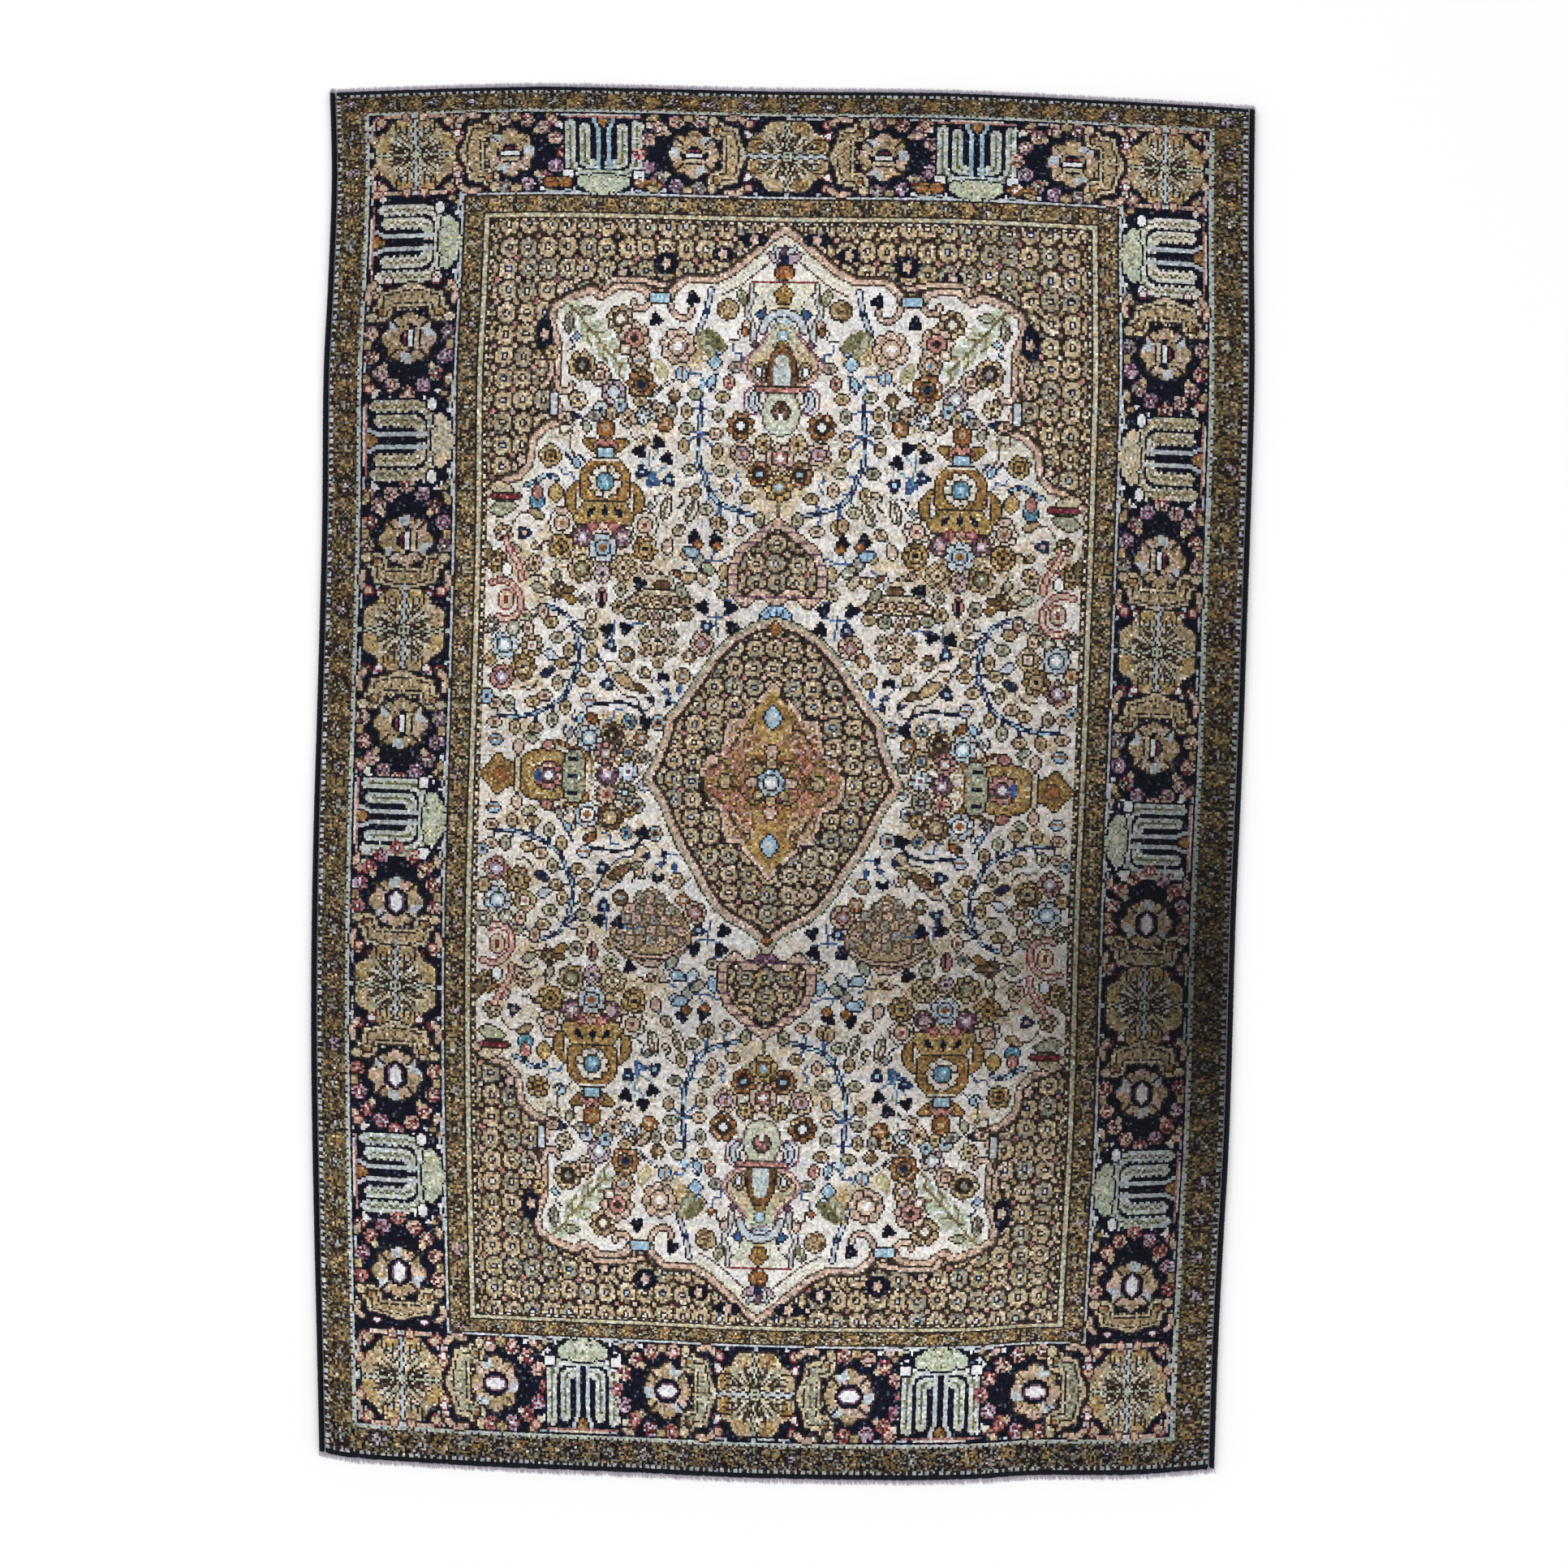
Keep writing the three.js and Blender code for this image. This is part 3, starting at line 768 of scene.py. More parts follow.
def branch(pen):
    """Curved bough with berries on both sides, under the vase's shoulder."""
    line = [(38, 184), (38, 172), (39, 160), (38.6, 148), (36, 141), (33, 133), (28, 128), (20, 125), (12, 123)]
    inner = ((28, 177), (30, 169), (31, 160), (30, 152), (28, 143), (25, 135), (15, 131), (9, 121), (18, 116),
             (27, 118))
    outer = ((41, 178), (45, 170), (45, 162), (46, 154), (43, 143), (40, 133), (35, 125), (30, 119))
    sprays(pen, line, inner + outer)
    twig(pen, [(35, 226), (37, 216), (40, 208), (41, 203)], "mist", "navy", 2.6)
    twig(pen, line, "sky", "navy", 2)
    berries(pen, inner, ("tan", "sage", "blush"))
    berries(pen, outer, ("sage", "tan"))
    pen.scatter(38, 199, 7, 7, 0.5, "gold")
    pen.scatter(34, 203, 5, 4, 0.5, "ochre")
    for x, y in ((30, 200), (32, 193)):
        pen.oval(x, y, 2.8, 2.8, "sky", "navy")
    pen.leaf(33, 196, 60, 14, 5, "sage", "olive")
    pen.leaf(21, 227, 250, 9, 4, "sage", "brown", "moss")
    pen.leaf(13, 216, 190, 9, 4.4, "blue", "ink")
    pen.leaf(28, 199, 45, 13, 5, "moss", "olive")
    pen.oval(26.6, 217.6, 4.6, 4.2, "tan", "brown")
    pen.scatter(28, 217, 4, 4, 0.5, "umber")
    pen.leaf(47, 184, 80, 7, 5, "sky", "navy", "rust")
    berries(pen, ((22, 191), (25, 184)), ("grey", "rose"))


def corner_spray(pen):
    """Flowers round one feathery plume, in the shoulder of the ogee."""
    pen.shape(smooth([(104, 219), (97, 219), (86, 209), (76, 197), (75, 188), (82, 190), (95, 201), (104, 211)],
                     True), "celadon")
    for i in range(10):
        x, y = 101 - i * 2.7, 216 - i * 2.75
        pen.curve([(x, y), (x - 4.6, y + 0.6), (x - 7, y + 3)], 1.3, ("sage", "olive", "white")[i % 3])
        pen.curve([(x, y), (x + 0.6, y - 4.6), (x - 1.4, y - 8)], 1.3, ("olive", "white", "sage")[i % 3])
    pen.curve([(104, 219), (96, 211), (88, 202), (76, 190)], 1.4, "olive")
    feather(pen, 103, 205, 95, 10, 4, "grey")
    pen.leaf(97, 215.6, 180, 7, 3, "sage", "brown")
    blotch(pen, 61, 212)
    blotch(pen, 43.5, 222)
    pen.leaf(96, 166.6, 0, 9, 2.6, "navy", "ink")
    bunch(pen, (
        (78, 212, 5.6, "tan", "cream", "bark"), (68, 193, 5, "tan", "teal", "blush"),
        (80, 178, 5, "lilac", "white", "mist"),
        (87, 186, 4.6, "blush", "rust", "blush"), (71, 203, 7, "blush", "brown", "rose"),
        (67, 182, 6, "rust", "navy", "umber"),
        (95.5, 190, 6, "tan", "grey", "brown"), (50, 200, 7.4, "blush", "white", "blush"),
        (75, 198, 2.4, "blush", "white"),
        (59, 170, 4, "blush", "brown", "tan"), (66, 167, 3.8, "mist", "white"), (55, 164, 3.6, "rust", "blush"),
        (73, 166, 4, "blush", "ink", "tan"), (97, 174, 4, "sand", "brown"), (51, 177, 3, "umber", "tan"),
        (86, 170, 3.4, "mist", "navy"), (77, 172, 3, "sky", "navy"), (110, 196, 3, "tan", "brown"),
    ))
    twig(pen, [(52, 184), (58, 180), (62, 174), (60, 166)], "mist", "brown", 1.2)
    pen.leaf(56, 184, 70, 10, 4.4, "straw", "tan")
    berries(pen, ((89, 167), (81, 168), (103, 166), (52, 170), (67, 174)), ("grey", "tan", "blush"))


def urn(pen):
    """Brown-gold urn with two handles, and a full bunch of flowers under it."""
    body = pen.at(83.5, 0)
    for half in body.halves():
        half.leaf(2, 151, 30, 11, 5, "ochre", "brown")
        half.curve([(12, 119), (15.6, 122), (16.4, 130), (13.4, 134)], 3.4, "ochre", "brown")
        half.curve([(11.4, 126), (12.6, 133), (11, 139)], 1.2, "blush")
    body.oval(0, 161, 4, 3.8, "rust", "brown")
    body.oval(0, 161.4, 1.8, 1.6, "tan")
    body.curve([(-5, 153), (-2, 155.6), (0, 154), (2, 155.6), (5, 153)], 2, "rose", "brown")
    body.box(0, 150, 3.4, 2.2, "sky", "brown")
    body.twin(smooth([(0, 147), (6.6, 146.4), (11, 141), (11.6, 134), (10.4, 128), (0, 127)]), "ochre", "brown")
    body.scatter(0, 138, 11, 9, 0.3, "rust")
    body.stem([(-5.5, 146.4), (5.5, 146.4)], 1.4, "cream")
    body.flower(0, 136.6, 7, "cream", "sky", "teal", petals=10)
    body.twin([(0, 127), (10, 127), (13, 122), (16.4, 119), (15, 116.6), (0, 116.6)], "gold", "brown")
    body.scatter(0, 122, 14, 5, 0.4, "ochre")
    for x, turn in ((-8.6, 50), (0, 90), (8.6, 130)):
        body.leaf(x, 120, turn, 6, 3, "ink")
    pen.scatter(84, 104, 24, 14, 0.2, "ochre")
    bunch(pen, (
        (94, 111, 4.2, "mauve", "white", "lilac"), (74.6, 111, 4.2, "mauve", "blush", "lilac"),
        (104, 117, 5.4, "cream", "rust", "blush"),
        (64, 117, 5.4, "cream", "madder", "blush"), (104, 106, 5.2, "gold", "ink", "ochre"),
        (63.6, 106, 5.2, "ochre", "ink", "gold"),
        (94, 96, 5.6, "tan", "sage", "olive"), (74, 97, 5.2, "tan", "brown", "sand"),
        (84, 94, 4, "lilac", "navy", "blush"),
        (84, 106, 6, "mist", "rust", "sky"), (110, 148, 4.6, "gold", "brown", "ochre"),
        (117, 98, 3.8, "blush", "brown", "tan"),
        (132, 112, 4, "tan", "cream", "brown"), (135, 99, 4.6, "ochre", "brown", "tan"),
        (127, 104, 3, "blush", "madder"),
    ))
    for x, ink in ((89, "rose"), (84, "blush"), (79, "rose")):
        pen.bloom(x, 116, 2, 5, ink, "madder")
    pen.leaf(84, 79, 90, 9, 4, "rose", "brown", "ink")
    blotch(pen, 122, 112, "navy", "blush")
    for x, y, ink in ((67, 151, "ink"), (58.6, 155, "ink"), (54, 148, "ink"), (66, 141.4, "navy"),
                      (60.6, 137.4, "blue"), (53, 138, "navy")):
        blotch(pen, x, y, ink, None if ink == "ink" else "sky")
    for line in ([(63, 152), (62, 144), (61, 138)], [(54, 145), (58, 142), (61, 141)], [(67, 147), (64, 144)],
                 [(58, 152), (61, 147)]):
        pen.curve(line, 1, "teal")
    twig(pen, [(122, 134), (117, 136), (112, 139), (106, 137)], "sky", "navy", 2.2)
    pen.oval(107, 131, 3, 4, "gold", "brown")
    pen.oval(116, 127, 3.4, 3.4, "teal", "navy")
    pen.leaf(116, 128, 90, 6, 5, "rose", "brown")
    feather(pen, 55.4, 120, 105, 12, 4.4)
    feather(pen, 44, 119, 115, 12, 4.4)
    feather(pen, 50, 113, 140, 7, 4, "blush")
    pen.leaf(113, 119, 30, 8, 3.4, "tan", "brown")
    pen.leaf(101, 122, 10, 7, 3.4, "blush", "brown")
    for line in ([(98, 163), (103, 158), (106, 160), (104, 165)], [(128, 116), (124, 121), (119, 121)],
                 [(98, 148), (101, 154), (99, 160)]):
        pen.curve(line, 1, "bark")


def side_branch(pen):
    """Second bough, beside the side vase, thick with berries, and a red loop at the edge of the field."""
    line = [(113, 79), (103, 76), (98, 71), (95, 62), (94, 52), (97, 45), (100, 38), (106, 33), (114, 29),
            (122, 27), (132, 27)]
    upper = ((108, 71), (119, 68), (105, 64), (99, 58), (102, 52), (89, 74), (89, 66), (88, 58), (88, 51),
             (112, 76), (121, 74))
    lower = ((92, 44), (104, 43), (110, 37), (100, 32), (116, 34), (127, 33), (134, 33), (124, 22), (114, 22),
             (106, 26), (134, 24))
    sprays(pen, line, upper + lower, "navy")
    twig(pen, line, "sky", "navy", 1.8)
    twig(pen, [(97, 70), (91, 64), (86, 57), (80, 50)], "mist", "navy", 1.2)
    berries(pen, upper, ("tan", "blush", "sage", "tan"))
    berries(pen, lower, ("tan", "sage", "blush", "tan"))
    for loop in ([(137, 89), (131, 90), (126, 87), (123, 81), (124, 75), (129, 72), (134, 73)],
                 [(131, 109), (128, 103), (124, 97), (123, 91)]):
        pen.curve(loop, 2, "blush", "madder")
    pen.oval(130, 81, 3.4, 4.4, "sand", "madder")
    pen.oval(130, 81, 1, 2.4, "madder")
    pen.oval(130, 95, 2.2, 3.2, "white", "brown")
    pen.leaf(138, 99, 80, 8, 3.4, "olive", "brown")
    bunch(pen, (
        (130, 60, 5.8, "mist", "white", "sky"), (117, 60, 4.6, "tan", "rose", "cream"),
        (121, 50, 5.4, "ochre", "ink", "tan"),
        (131, 45, 5.2, "rose", "white", "lilac"), (137, 69, 3.8, "grey", "white", "brown"),
        (137, 53, 3, "tan", "rust"),
        (105, 86, 3.8, "umber", "tan", "brown"), (138, 36, 3, "sky", "navy"), (126, 68, 3, "sage", "white"),
    ))
    for x, y, turn, ink in ((104, 84, 160, "umber"), (112, 46, 150, "navy"), (111, 57, 200, "mist"),
                            (96, 81, 20, "ochre"), (118, 88, 200, "sage")):
        pen.leaf(x, y, turn, 7.5, 3.4, ink, "navy" if ink == "mist" else "brown")
    for line in ([(110, 90), (116, 93), (121, 90)], [(114, 82), (109, 84), (106, 80)],
                 [(113, 44), (117, 40), (122, 41)]):
        pen.curve(line, 1, "brown")


def basket(pen, low):
    """Basket of berries, with a perched bird beside it."""
    if low:
        pen.shape(smooth([(56, 52), (63, 58), (70, 64), (75, 72), (74, 79), (66, 86), (47, 86), (38, 79), (37, 72),
                          (42, 64), (49, 58)], True),
                  "tan", "bark")
        rows = ((57, (52, 56.5, 61)), (62, (47, 52, 57, 62, 66)), (67, (44, 49, 54, 59, 64, 69)),
                (72, (41, 46, 51, 56, 61, 66, 71)),
                (77, (41, 46, 51, 56, 61, 66, 71)))
        for y, places in rows:
            for x in places:
                dx, dy = pen.random.uniform(-0.8, 0.8, 2)
                pen.bloom(x + dx, y + dy, 2.5, 5, ("tan", "grey", "blush")[(int(x) + y) % 3], "bark", depth=0.3)
                pen.oval(x + dx, y + dy, 0.7, 0.7, "umber")
        pen.curve([(39, 79), (46, 83), (56, 85), (66, 83), (73, 79)], 1.4, "blush", "brown")
        pen.leaf(51, 87.6, 0, 10, 3, "blush", "brown")
    else:
        pen.oval(55, 89.4, 4.4, 1.4, "umber", "brown")
        pen.shape(smooth([(41, 80), (43, 85), (50, 87), (61, 87), (68, 85), (71, 80)], True), "sand", "brown")
        for i in range(6):
            pen.bloom(43.6 + 4.8 * i, 82.4, 2, 5, ("tan", "blush")[i % 2], "brown", depth=0.3)
            pen.oval(43.6 + 4.8 * i, 82.4, 0.6, 0.6, "umber")
        berries(pen, ((70, 76), (64, 75), (57.4, 74), (50.6, 75), (43, 76)), ("sage", "tan", "blush"))
        berries(pen, ((62.6, 66), (56, 67.4), (49.6, 66), (62, 59.6), (56, 61), (50, 59.6), (56, 54.6)),
                ("tan", "sand", "sage"))
        pen.scatter(56, 63, 9, 8, 0.2, "blush")
    bird = smooth([(81, 52), (77, 53), (72, 49), (66, 43), (59, 39), (58, 34), (63, 32), (65, 37), (72, 39),
                   (78, 45)], True)
    pen.shape(bird, "sand" if low else "cream", "navy" if low else "brown")
    pen.leaf(77, 48, 212, 13, 4.6, "umber" if low else "tan", "brown")
    pen.oval(79, 50, 1.4, 1.2, "rust")
    pen.leaf(66, 42, 200, 6, 3, "sage" if low else "umber", "brown")
    twig(pen, [(90, 35), (82, 34), (74, 35), (66, 33), (62, 29)], "navy", "ink", 1)
    pen.leaf(86, 35, 10, 7, 5, "mist", "navy", "rust")
    for x, y, turn, ink in ((56, 45, 120, "ink"), (50, 45, 50, "ink"), (54, 41, 200, "navy"), (49, 38, 300, "ink"),
                            (57, 36, 20, "navy"),
                            (46, 39, 100, "blue")):
        pen.leaf(x, y, turn, 6, 3, ink, None)
    pen.curve([(58, 47), (53, 42), (49, 36), (44, 36)], 1, "blue")
    blots = ((81, 68, "ink"), (79, 61, "navy"), (72, 69, "ink"), (80, 43, "navy"), (35, 80, "ink"), (22, 80, "ink"),
             (33, 71, "navy"),
             (21, 71, "ink"), (66, 90, "ink"), (40, 112, "ink"), (30, 111, "ink"), (61, 26, "ink"))
    for x, y, ink in blots:
        blotch(pen, x, y, ink, "sky" if ink == "navy" else None)
    for line in ([(78, 73), (78, 66), (79, 62)], [(28, 78), (28, 71), (27, 66)],
                 [(22, 104), (29, 101), (37, 103), (40, 110)],
                 [(35, 77), (29, 75), (22, 77)], [(35, 98), (31, 104), (31, 110)], [(43, 99), (48, 95), (50, 90)],
                 [(70, 70), (66, 72), (61, 70)], [(16, 88), (21, 84), (26, 84)], [(46, 52), (41, 50), (37, 46)]):
        pen.curve(line, 1, "blue")
    leaves = (
        (46, 92, 160, "tan", "brown"), (46, 103, 150, "tan", "brown"), (37, 98, 80, "grey", "navy"),
        (34, 90, 60, "sand", "brown"), (26, 93, 100, "tan", "brown"), (54, 104, 110, "blush", "brown"),
        (30, 96, 30, "sage", "brown"), (44, 84, 60, "sage", "brown"), (38, 104, 20, "sky", "navy"),
    )
    colder = {"tan": "sky", "sand": "mist"} if low else {}
    for x, y, turn, ink, edge in leaves:
        pen.leaf(x, y, turn, 7.6, 4.4, colder.get(ink, ink), "navy" if low else edge)
    pen.dots([(38, 109), (29, 108)], 1.8, "rust", "brown")
    bunch(pen, (
        (35, 63, 5, "blush", "sky", "rose"), (71, 57, 3.4, "umber", "sky"), (44, 48, 3.4, "tan", "sky", "rust"),
        (69, 26, 3, "teal", "navy"), (55, 26, 3.2, "sky", "navy", "rust"), (76, 79, 3, "tan", "brown"),
        (75, 87, 3, "sage", "brown"), (41, 57, 3, "rust", "mist"), (92, 82, 3, "grey", "brown"),
        (26, 87, 2.6, "sand", "brown"), (13, 88, 2.4, "grey", "brown"),
    ))


def side_vase(pen):
    """Gold vase lying on the middle line, its mouth towards the medallion, with a bunch of flowers."""
    pen.shape(smooth([(140, 0), (136, 4), (132, 9), (127, 6), (124, 4), (124, -4), (127, -6), (132, -9), (136, -4)],
                     True), "ochre", "brown")
    pen.oval(130, 0, 3, 3, "rust", "umber")
    pen.shape(smooth([(120, 7), (114, 11), (106, 12), (99, 10), (94, 14), (88, 11), (90, 5), (90, -5), (88, -11),
                      (94, -14), (99, -10),
                      (106, -12), (114, -11), (120, -7)], True), "ochre", "brown")
    pen.scatter(107, 0, 14, 11, 0.4, "gold")
    pen.scatter(107, 0, 13, 10, 0.16, "straw")
    pen.shape(smooth([(99, 9), (92, 12), (90, 5), (90, -5), (92, -12), (99, -9)], True), "sage", "brown")
    for y in (-8, 0, 8):
        pen.leaf(92.6, y, 0, 6, 3, "ink")
    pen.box(122, 0, 1.2, 8, "sand", "brown")
    pen.flower(107, 0, 6, "rose", "white", "mauve", petals=10)
    pen.oval(112, 0, 2, 3.4, "blue")
    pen.scatter(77, 0, 15, 22, 0.34, "ochre")
    bunch(pen, (
        (88, 18, 5.6, "mist", "white", "sky"), (77, 20, 4.8, "umber", "tan", "brown"),
        (80, 11, 4.6, "rose", "white", "blush"),
        (69, 12, 4.6, "tan", "blue", "grey"), (79, 1, 4.4, "mauve", "white", "lilac"),
        (69, 3, 4.4, "mist", "mauve", "white"),
        (79, -8, 4.4, "blush", "madder", "rose"), (70, -7, 4.4, "grey", "sky", "brown"),
        (88, -18, 5.6, "mist", "rust", "white"),
        (77, -19, 5.4, "umber", "sand", "tan"), (64, -13, 3.4, "sky", "navy", "rust"), (63, 19, 3.4, "rust", "sky"),
        (61, 10, 3, "grey", "brown"), (61, -3, 3, "mist", "mauve"), (68, -16, 3, "ochre", "brown"),
    ))
    for end in (-1, 1):
        twig(pen, [(97, 13 * end), (103, 16 * end), (109, 15 * end)], "rust", "brown", 2)
        pen.leaf(105, 14 * end, 0, 6, 4, "rose", "brown")
        pen.leaf(136, 16 * end, 180, 7, 4.6, "sky", "navy", "rust")
        pen.leaf(122, 16 * end, -90 * end, 6, 5, "blush", "brown")
        pen.leaf(113, 16 * end, 20 * end, 7, 3, "sage", "brown")


def trefoil(pen, low):
    """Pendant over the medallion, with a half palmette or a small bud between them."""
    outline = [*TREFOIL, *[(-x, y) for x, y in reversed(TREFOIL)]]
    where, x, y = pen.patch(0, 101, 26)
    inner = inside(outline, x, y)
    gap = line_distance(TREFOIL, np.abs(x), y)
    pen.lay(where, inner | (gap < 2.6), "brown")
    pen.lay(where, gap < 1.8, "blush")
    pen.lay(where, (gap < 1.8) & (y.astype(int) % 5 == 0) & (y < 116), "mauve")
    lattice(pen.at(0, 101), where, inner & (gap > 2.8), 9.4, 8.8, 22, 20)
    if low:
        pen.twin([(2, 80), (6, 85), (3, 86), (0, 82)], "mauve", "navy")
    else:
        pen.shape(smooth([(-7.4, 72), (-6.4, 78.4), (0, 81.4), (6.4, 78.4), (7.4, 72)]), "sky", "navy")
        fan(pen, 0, 72, 90, 110, 5, 2, 8, "blue")


def scroll(pen, x, y, r, turn, ink):
    """Open spiral with a round end."""
    at = pen.at(x, y, turn)
    points = [(r * (1 - t) * math.cos(t * 5.2), r * (1 - t) * math.sin(t * 5.2)) for t in np.linspace(0, 0.8, 9)]
    at.stem(points, 1, ink)
    at.oval(*points[-1], 1.1, 1.1, ink)


def medallion(pen):
    """Central medallion: rosette lattice round a stepped inner panel of scrolls."""
    where, x, y = pen.patch(0, 0, 84)
    ax, ay = np.abs(x), np.abs(y)
    inner = np.where(y > 0, inside([(0, 0), *MEDALLION], ax, ay), inside([(0, 0), *MEDALLION_LOW], ax, ay))
    gap = np.where(y > 0, line_distance(MEDALLION, ax, ay), line_distance(MEDALLION_LOW, ax, ay))
    lattice(pen, where, inner, 9.4, 8.8, 60, 80, "ink")
    pen.lay(where, gap < 3, "brown")
    pen.lay(where, ~inner & (gap < 2.4), "sage")
    pen.lay(where, gap < 1.2, "blush")
    pen.leaf(0, 68, 90, 7, 5.4, "rust", "brown")
    pen.leaf(0, -77, 90, 5, 3.4, "rust", "brown")
    panel = inside([(0, 0), *PANEL], ax, ay)
    edge = line_distance(PANEL, ax, ay)
    pen.lay(where, edge < 2, "brown")
    pen.lay(where, panel & (edge >= 1), "rust")
    pen.lay(where, panel & (edge >= 1) & (drift(x.shape, (5, 4), 9) > -0.1), "ochre")
    pen.lay(where, panel & (edge >= 1) & (pen.random.random(x.shape) < 0.3), "umber")
    pen.lay(where, panel & (edge >= 1) & (pen.random.random(x.shape) < 0.16), "tan")
    bare = panel & (ay > 13) & (ax < np.where(ay > 27, 13, 6 + 0.6 * np.abs(ay - 20))) & (edge >= 1)
    pen.lay(where, bare, "gold")
    pen.lay(where, bare & (drift(x.shape, (4, 2), 8) > 0), "ochre")
    pen.lay(where, (edge < 1) & (drift(x.shape, (6, 5), 4) > -0.35), "blush")
    scrolls = ((12, 16, 5, 40), (19, 19, 4.4, 200), (17, 9, 5, 120), (25, 6, 4.4, 300), (11, 23, 4, 90),
               (28, 9, 3, 20),
               (21, 14, 3.4, 170), (16, 25, 4, 250), (29, 4, 3.4, 90), (13, 4, 3.6, 10))
    for quarter in pen.quarters():
        for px, py, r, turn in scrolls:
            scroll(quarter, px, py, r, turn, "rose" if px % 4 == 1 else "blush")
        quarter.curve([(12, 29), (9, 25), (14, 24), (19, 16), (22, 11), (29, 6)], 1, "brown")
        quarter.curve([(3, 8), (8, 11), (12, 8), (16, 3), (21, 3)], 1, "brown")
        quarter.dots([(14, 14), (21, 12), (4, 18)], 1, "rose")
    for side in (-1, 1):
        pen.oval(0, 30 * side, 3.6, 4.6, "sky", "navy")
        pen.oval(0, 30 * side, 1.8, 2, "mist")
        pen.oval(9.4 * side, 0, 2.6, 2.2, "blush", "brown")
        pen.bloom(0, 14 * side, 3.4, 6, "blush", "brown", gap="madder")
        pen.bloom(22 * side, 0, 3.2, 6, "tan", "brown", gap="madder")
    for turn in (45, 90, 135, 225, 270, 315):
        pen.leaf(6.4 * math.cos(math.radians(turn)), 6.4 * math.sin(math.radians(turn)), turn, 5, 4, "tan", "brown")
    pen.flower(0, 0, 5.6, "sky", "white", "mist", gap="teal")


# Places where dye has bled into the ivory: across, up, half width, half height
BLEEDS = (
    (96, 108, 26, 12), (70, 96, 18, 9), (112, 92, 14, 7), (37, 198, 11, 9), (104, 158, 8, 9), (0, 130, 18, 8),
    (60, 166, 12, 8),
    (76, 24, 20, 7), (96, -2, 10, 24), (118, 82, 12, 6), (116, 46, 14, 9), (124, 22, 12, 6), (20, 146, 14, 12),
    (46, 192, 10, 10),
    (84, 72, 8, 12), (52, 100, 8, 10), (128, 98, 10, 16),
)


def field_filler(chart, allowed, seed):
    """Small sprigs on the ivory that is still bare, the dye that bled into it, and darker clouds over its middle.
    """
    rng = np.random.default_rng(seed)
    spots = []
    pen = Pen(chart, seed, allowed)
    ivory = INK["ivory"]
    for y in np.arange(3, FIELD_Y - 6, 2.0):
        for x in np.arange(3, FIELD_X - 4, 2.0):
            x0, y0 = x + float(rng.uniform(-1, 1)), y + float(rng.uniform(-1, 1))
            row, column = int(ROWS / 2 - y0), int(COLUMNS / 2 - x0)
            bare = np.mean(chart[row - 4:row + 5, column - 4:column + 5] == ivory)
            apart = all((x0 - a) ** 2 + (y0 - b) ** 2 > 46 for a, b in spots)
            if allowed[row, column] and bare > 0.88 and apart:
                spots.append((x0, y0))
    inks = (("tan", "brown"), ("rust", "brown"), ("blush", "brown"), ("sage", "brown"), ("sand", "brown"),
            ("sky", "navy"), ("grey", "navy"))
    for x, y in spots:
        petal, heart = inks[int(rng.integers(len(inks)))]
        turn, kind = float(rng.uniform(0, 360)), int(rng.integers(4))
        for sx in (-1, 1):
            for sy in (-1, 1):
                small = pen.at(x * sx, y * sy, turn if sx * sy > 0 else -turn, 1, sx * sy)
                small.curve([(-4.4, -2), (-1.4, 1), (1.6, -1), (4.4, 1.8)], 1, heart if kind else "blue")
                if kind == 1:
                    small.leaf(-1, 0.4, 60, 5, 2.6, petal, heart)
                elif kind == 2:
                    small.dots([(3, 1.8)], 1.3, petal, heart)
                elif kind == 3:
                    small.leaf(-3, 0, 20, 6, 3, petal, heart)
    for x, y, rx, ry in BLEEDS:
        for sx in (-1, 1):
            for sy in (-1, 1):
                where, px, py = pen.patch(x * sx, y * sy, max(rx, ry))
                near = 1 - ((px - x * sx) / rx) ** 2 - ((py - y * sy) / ry) ** 2
                patchy = 0.8 * near + 0.8 * drift(px.shape, (6, 5), int(x + y) % 7)
                bled = (chart[where] == ivory) & (pen.random.random(px.shape) < patchy) & (near > 0)
                pen.lay(where, bled, "honey")
                pen.lay(where, bled & (pen.random.random(px.shape) < 0.9 * patchy - 0.2), "sand")
    # Within 170 knots of the middle line the bare ivory is clouded with cream, honey and sage knots, darker in the
    # middle of the field than at its ends.
    where, px, py = pen.patch(0, 0, 300)
    clouds = drift(px.shape, (9, 4), seed) + 0.7 * drift(px.shape, (3, 2), seed + 1)
    clouded_ivory = (chart[where] == ivory) & (pen.random.random(px.shape) < 0.16 + 0.7 * clouds) & (np.abs(py) < 170)
    pen.lay(where, clouded_ivory, "cream")
    pen.lay(where, clouded_ivory & (pen.random.random(px.shape) < 0.4), "honey")
    pen.lay(where, clouded_ivory & (pen.random.random(px.shape) < 0.14), "sage")


def rug_chart(seed=7):
    """The whole pattern, one ink number for each knot."""
    chart = np.full((ROWS, COLUMNS), INK["ink"], np.uint8)
    borders(chart, seed)
    field_ground(Pen(chart, seed))
    columns = np.abs(np.arange(COLUMNS) + 0.5 - COLUMNS / 2) < FIELD_X
    rows = np.abs(ROWS / 2 - 0.5 - np.arange(ROWS)) < FIELD_Y
    within = rows[:, None] & columns[None]
    pen = Pen(chart, seed, within)
    for turn, flip in ((0, -1), (0, 1), (180, 1), (180, -1)):
        quarter = pen.at(0, 0, turn, flip=flip)
        for part in (ogee_scrolls, branch, corner_spray, urn, side_branch):
            part(quarter)
        basket(quarter, turn == 180)
    for flip in (-1, 1):
        side_vase(pen.at(0, 0, 0, flip=flip))
    for turn in (0, 180):
        vase(pen.at(0, 0, turn))
        trefoil(pen.at(0, 0, turn), turn == 180)
    medallion(pen)
    field_filler(chart, within, seed)
    return chart
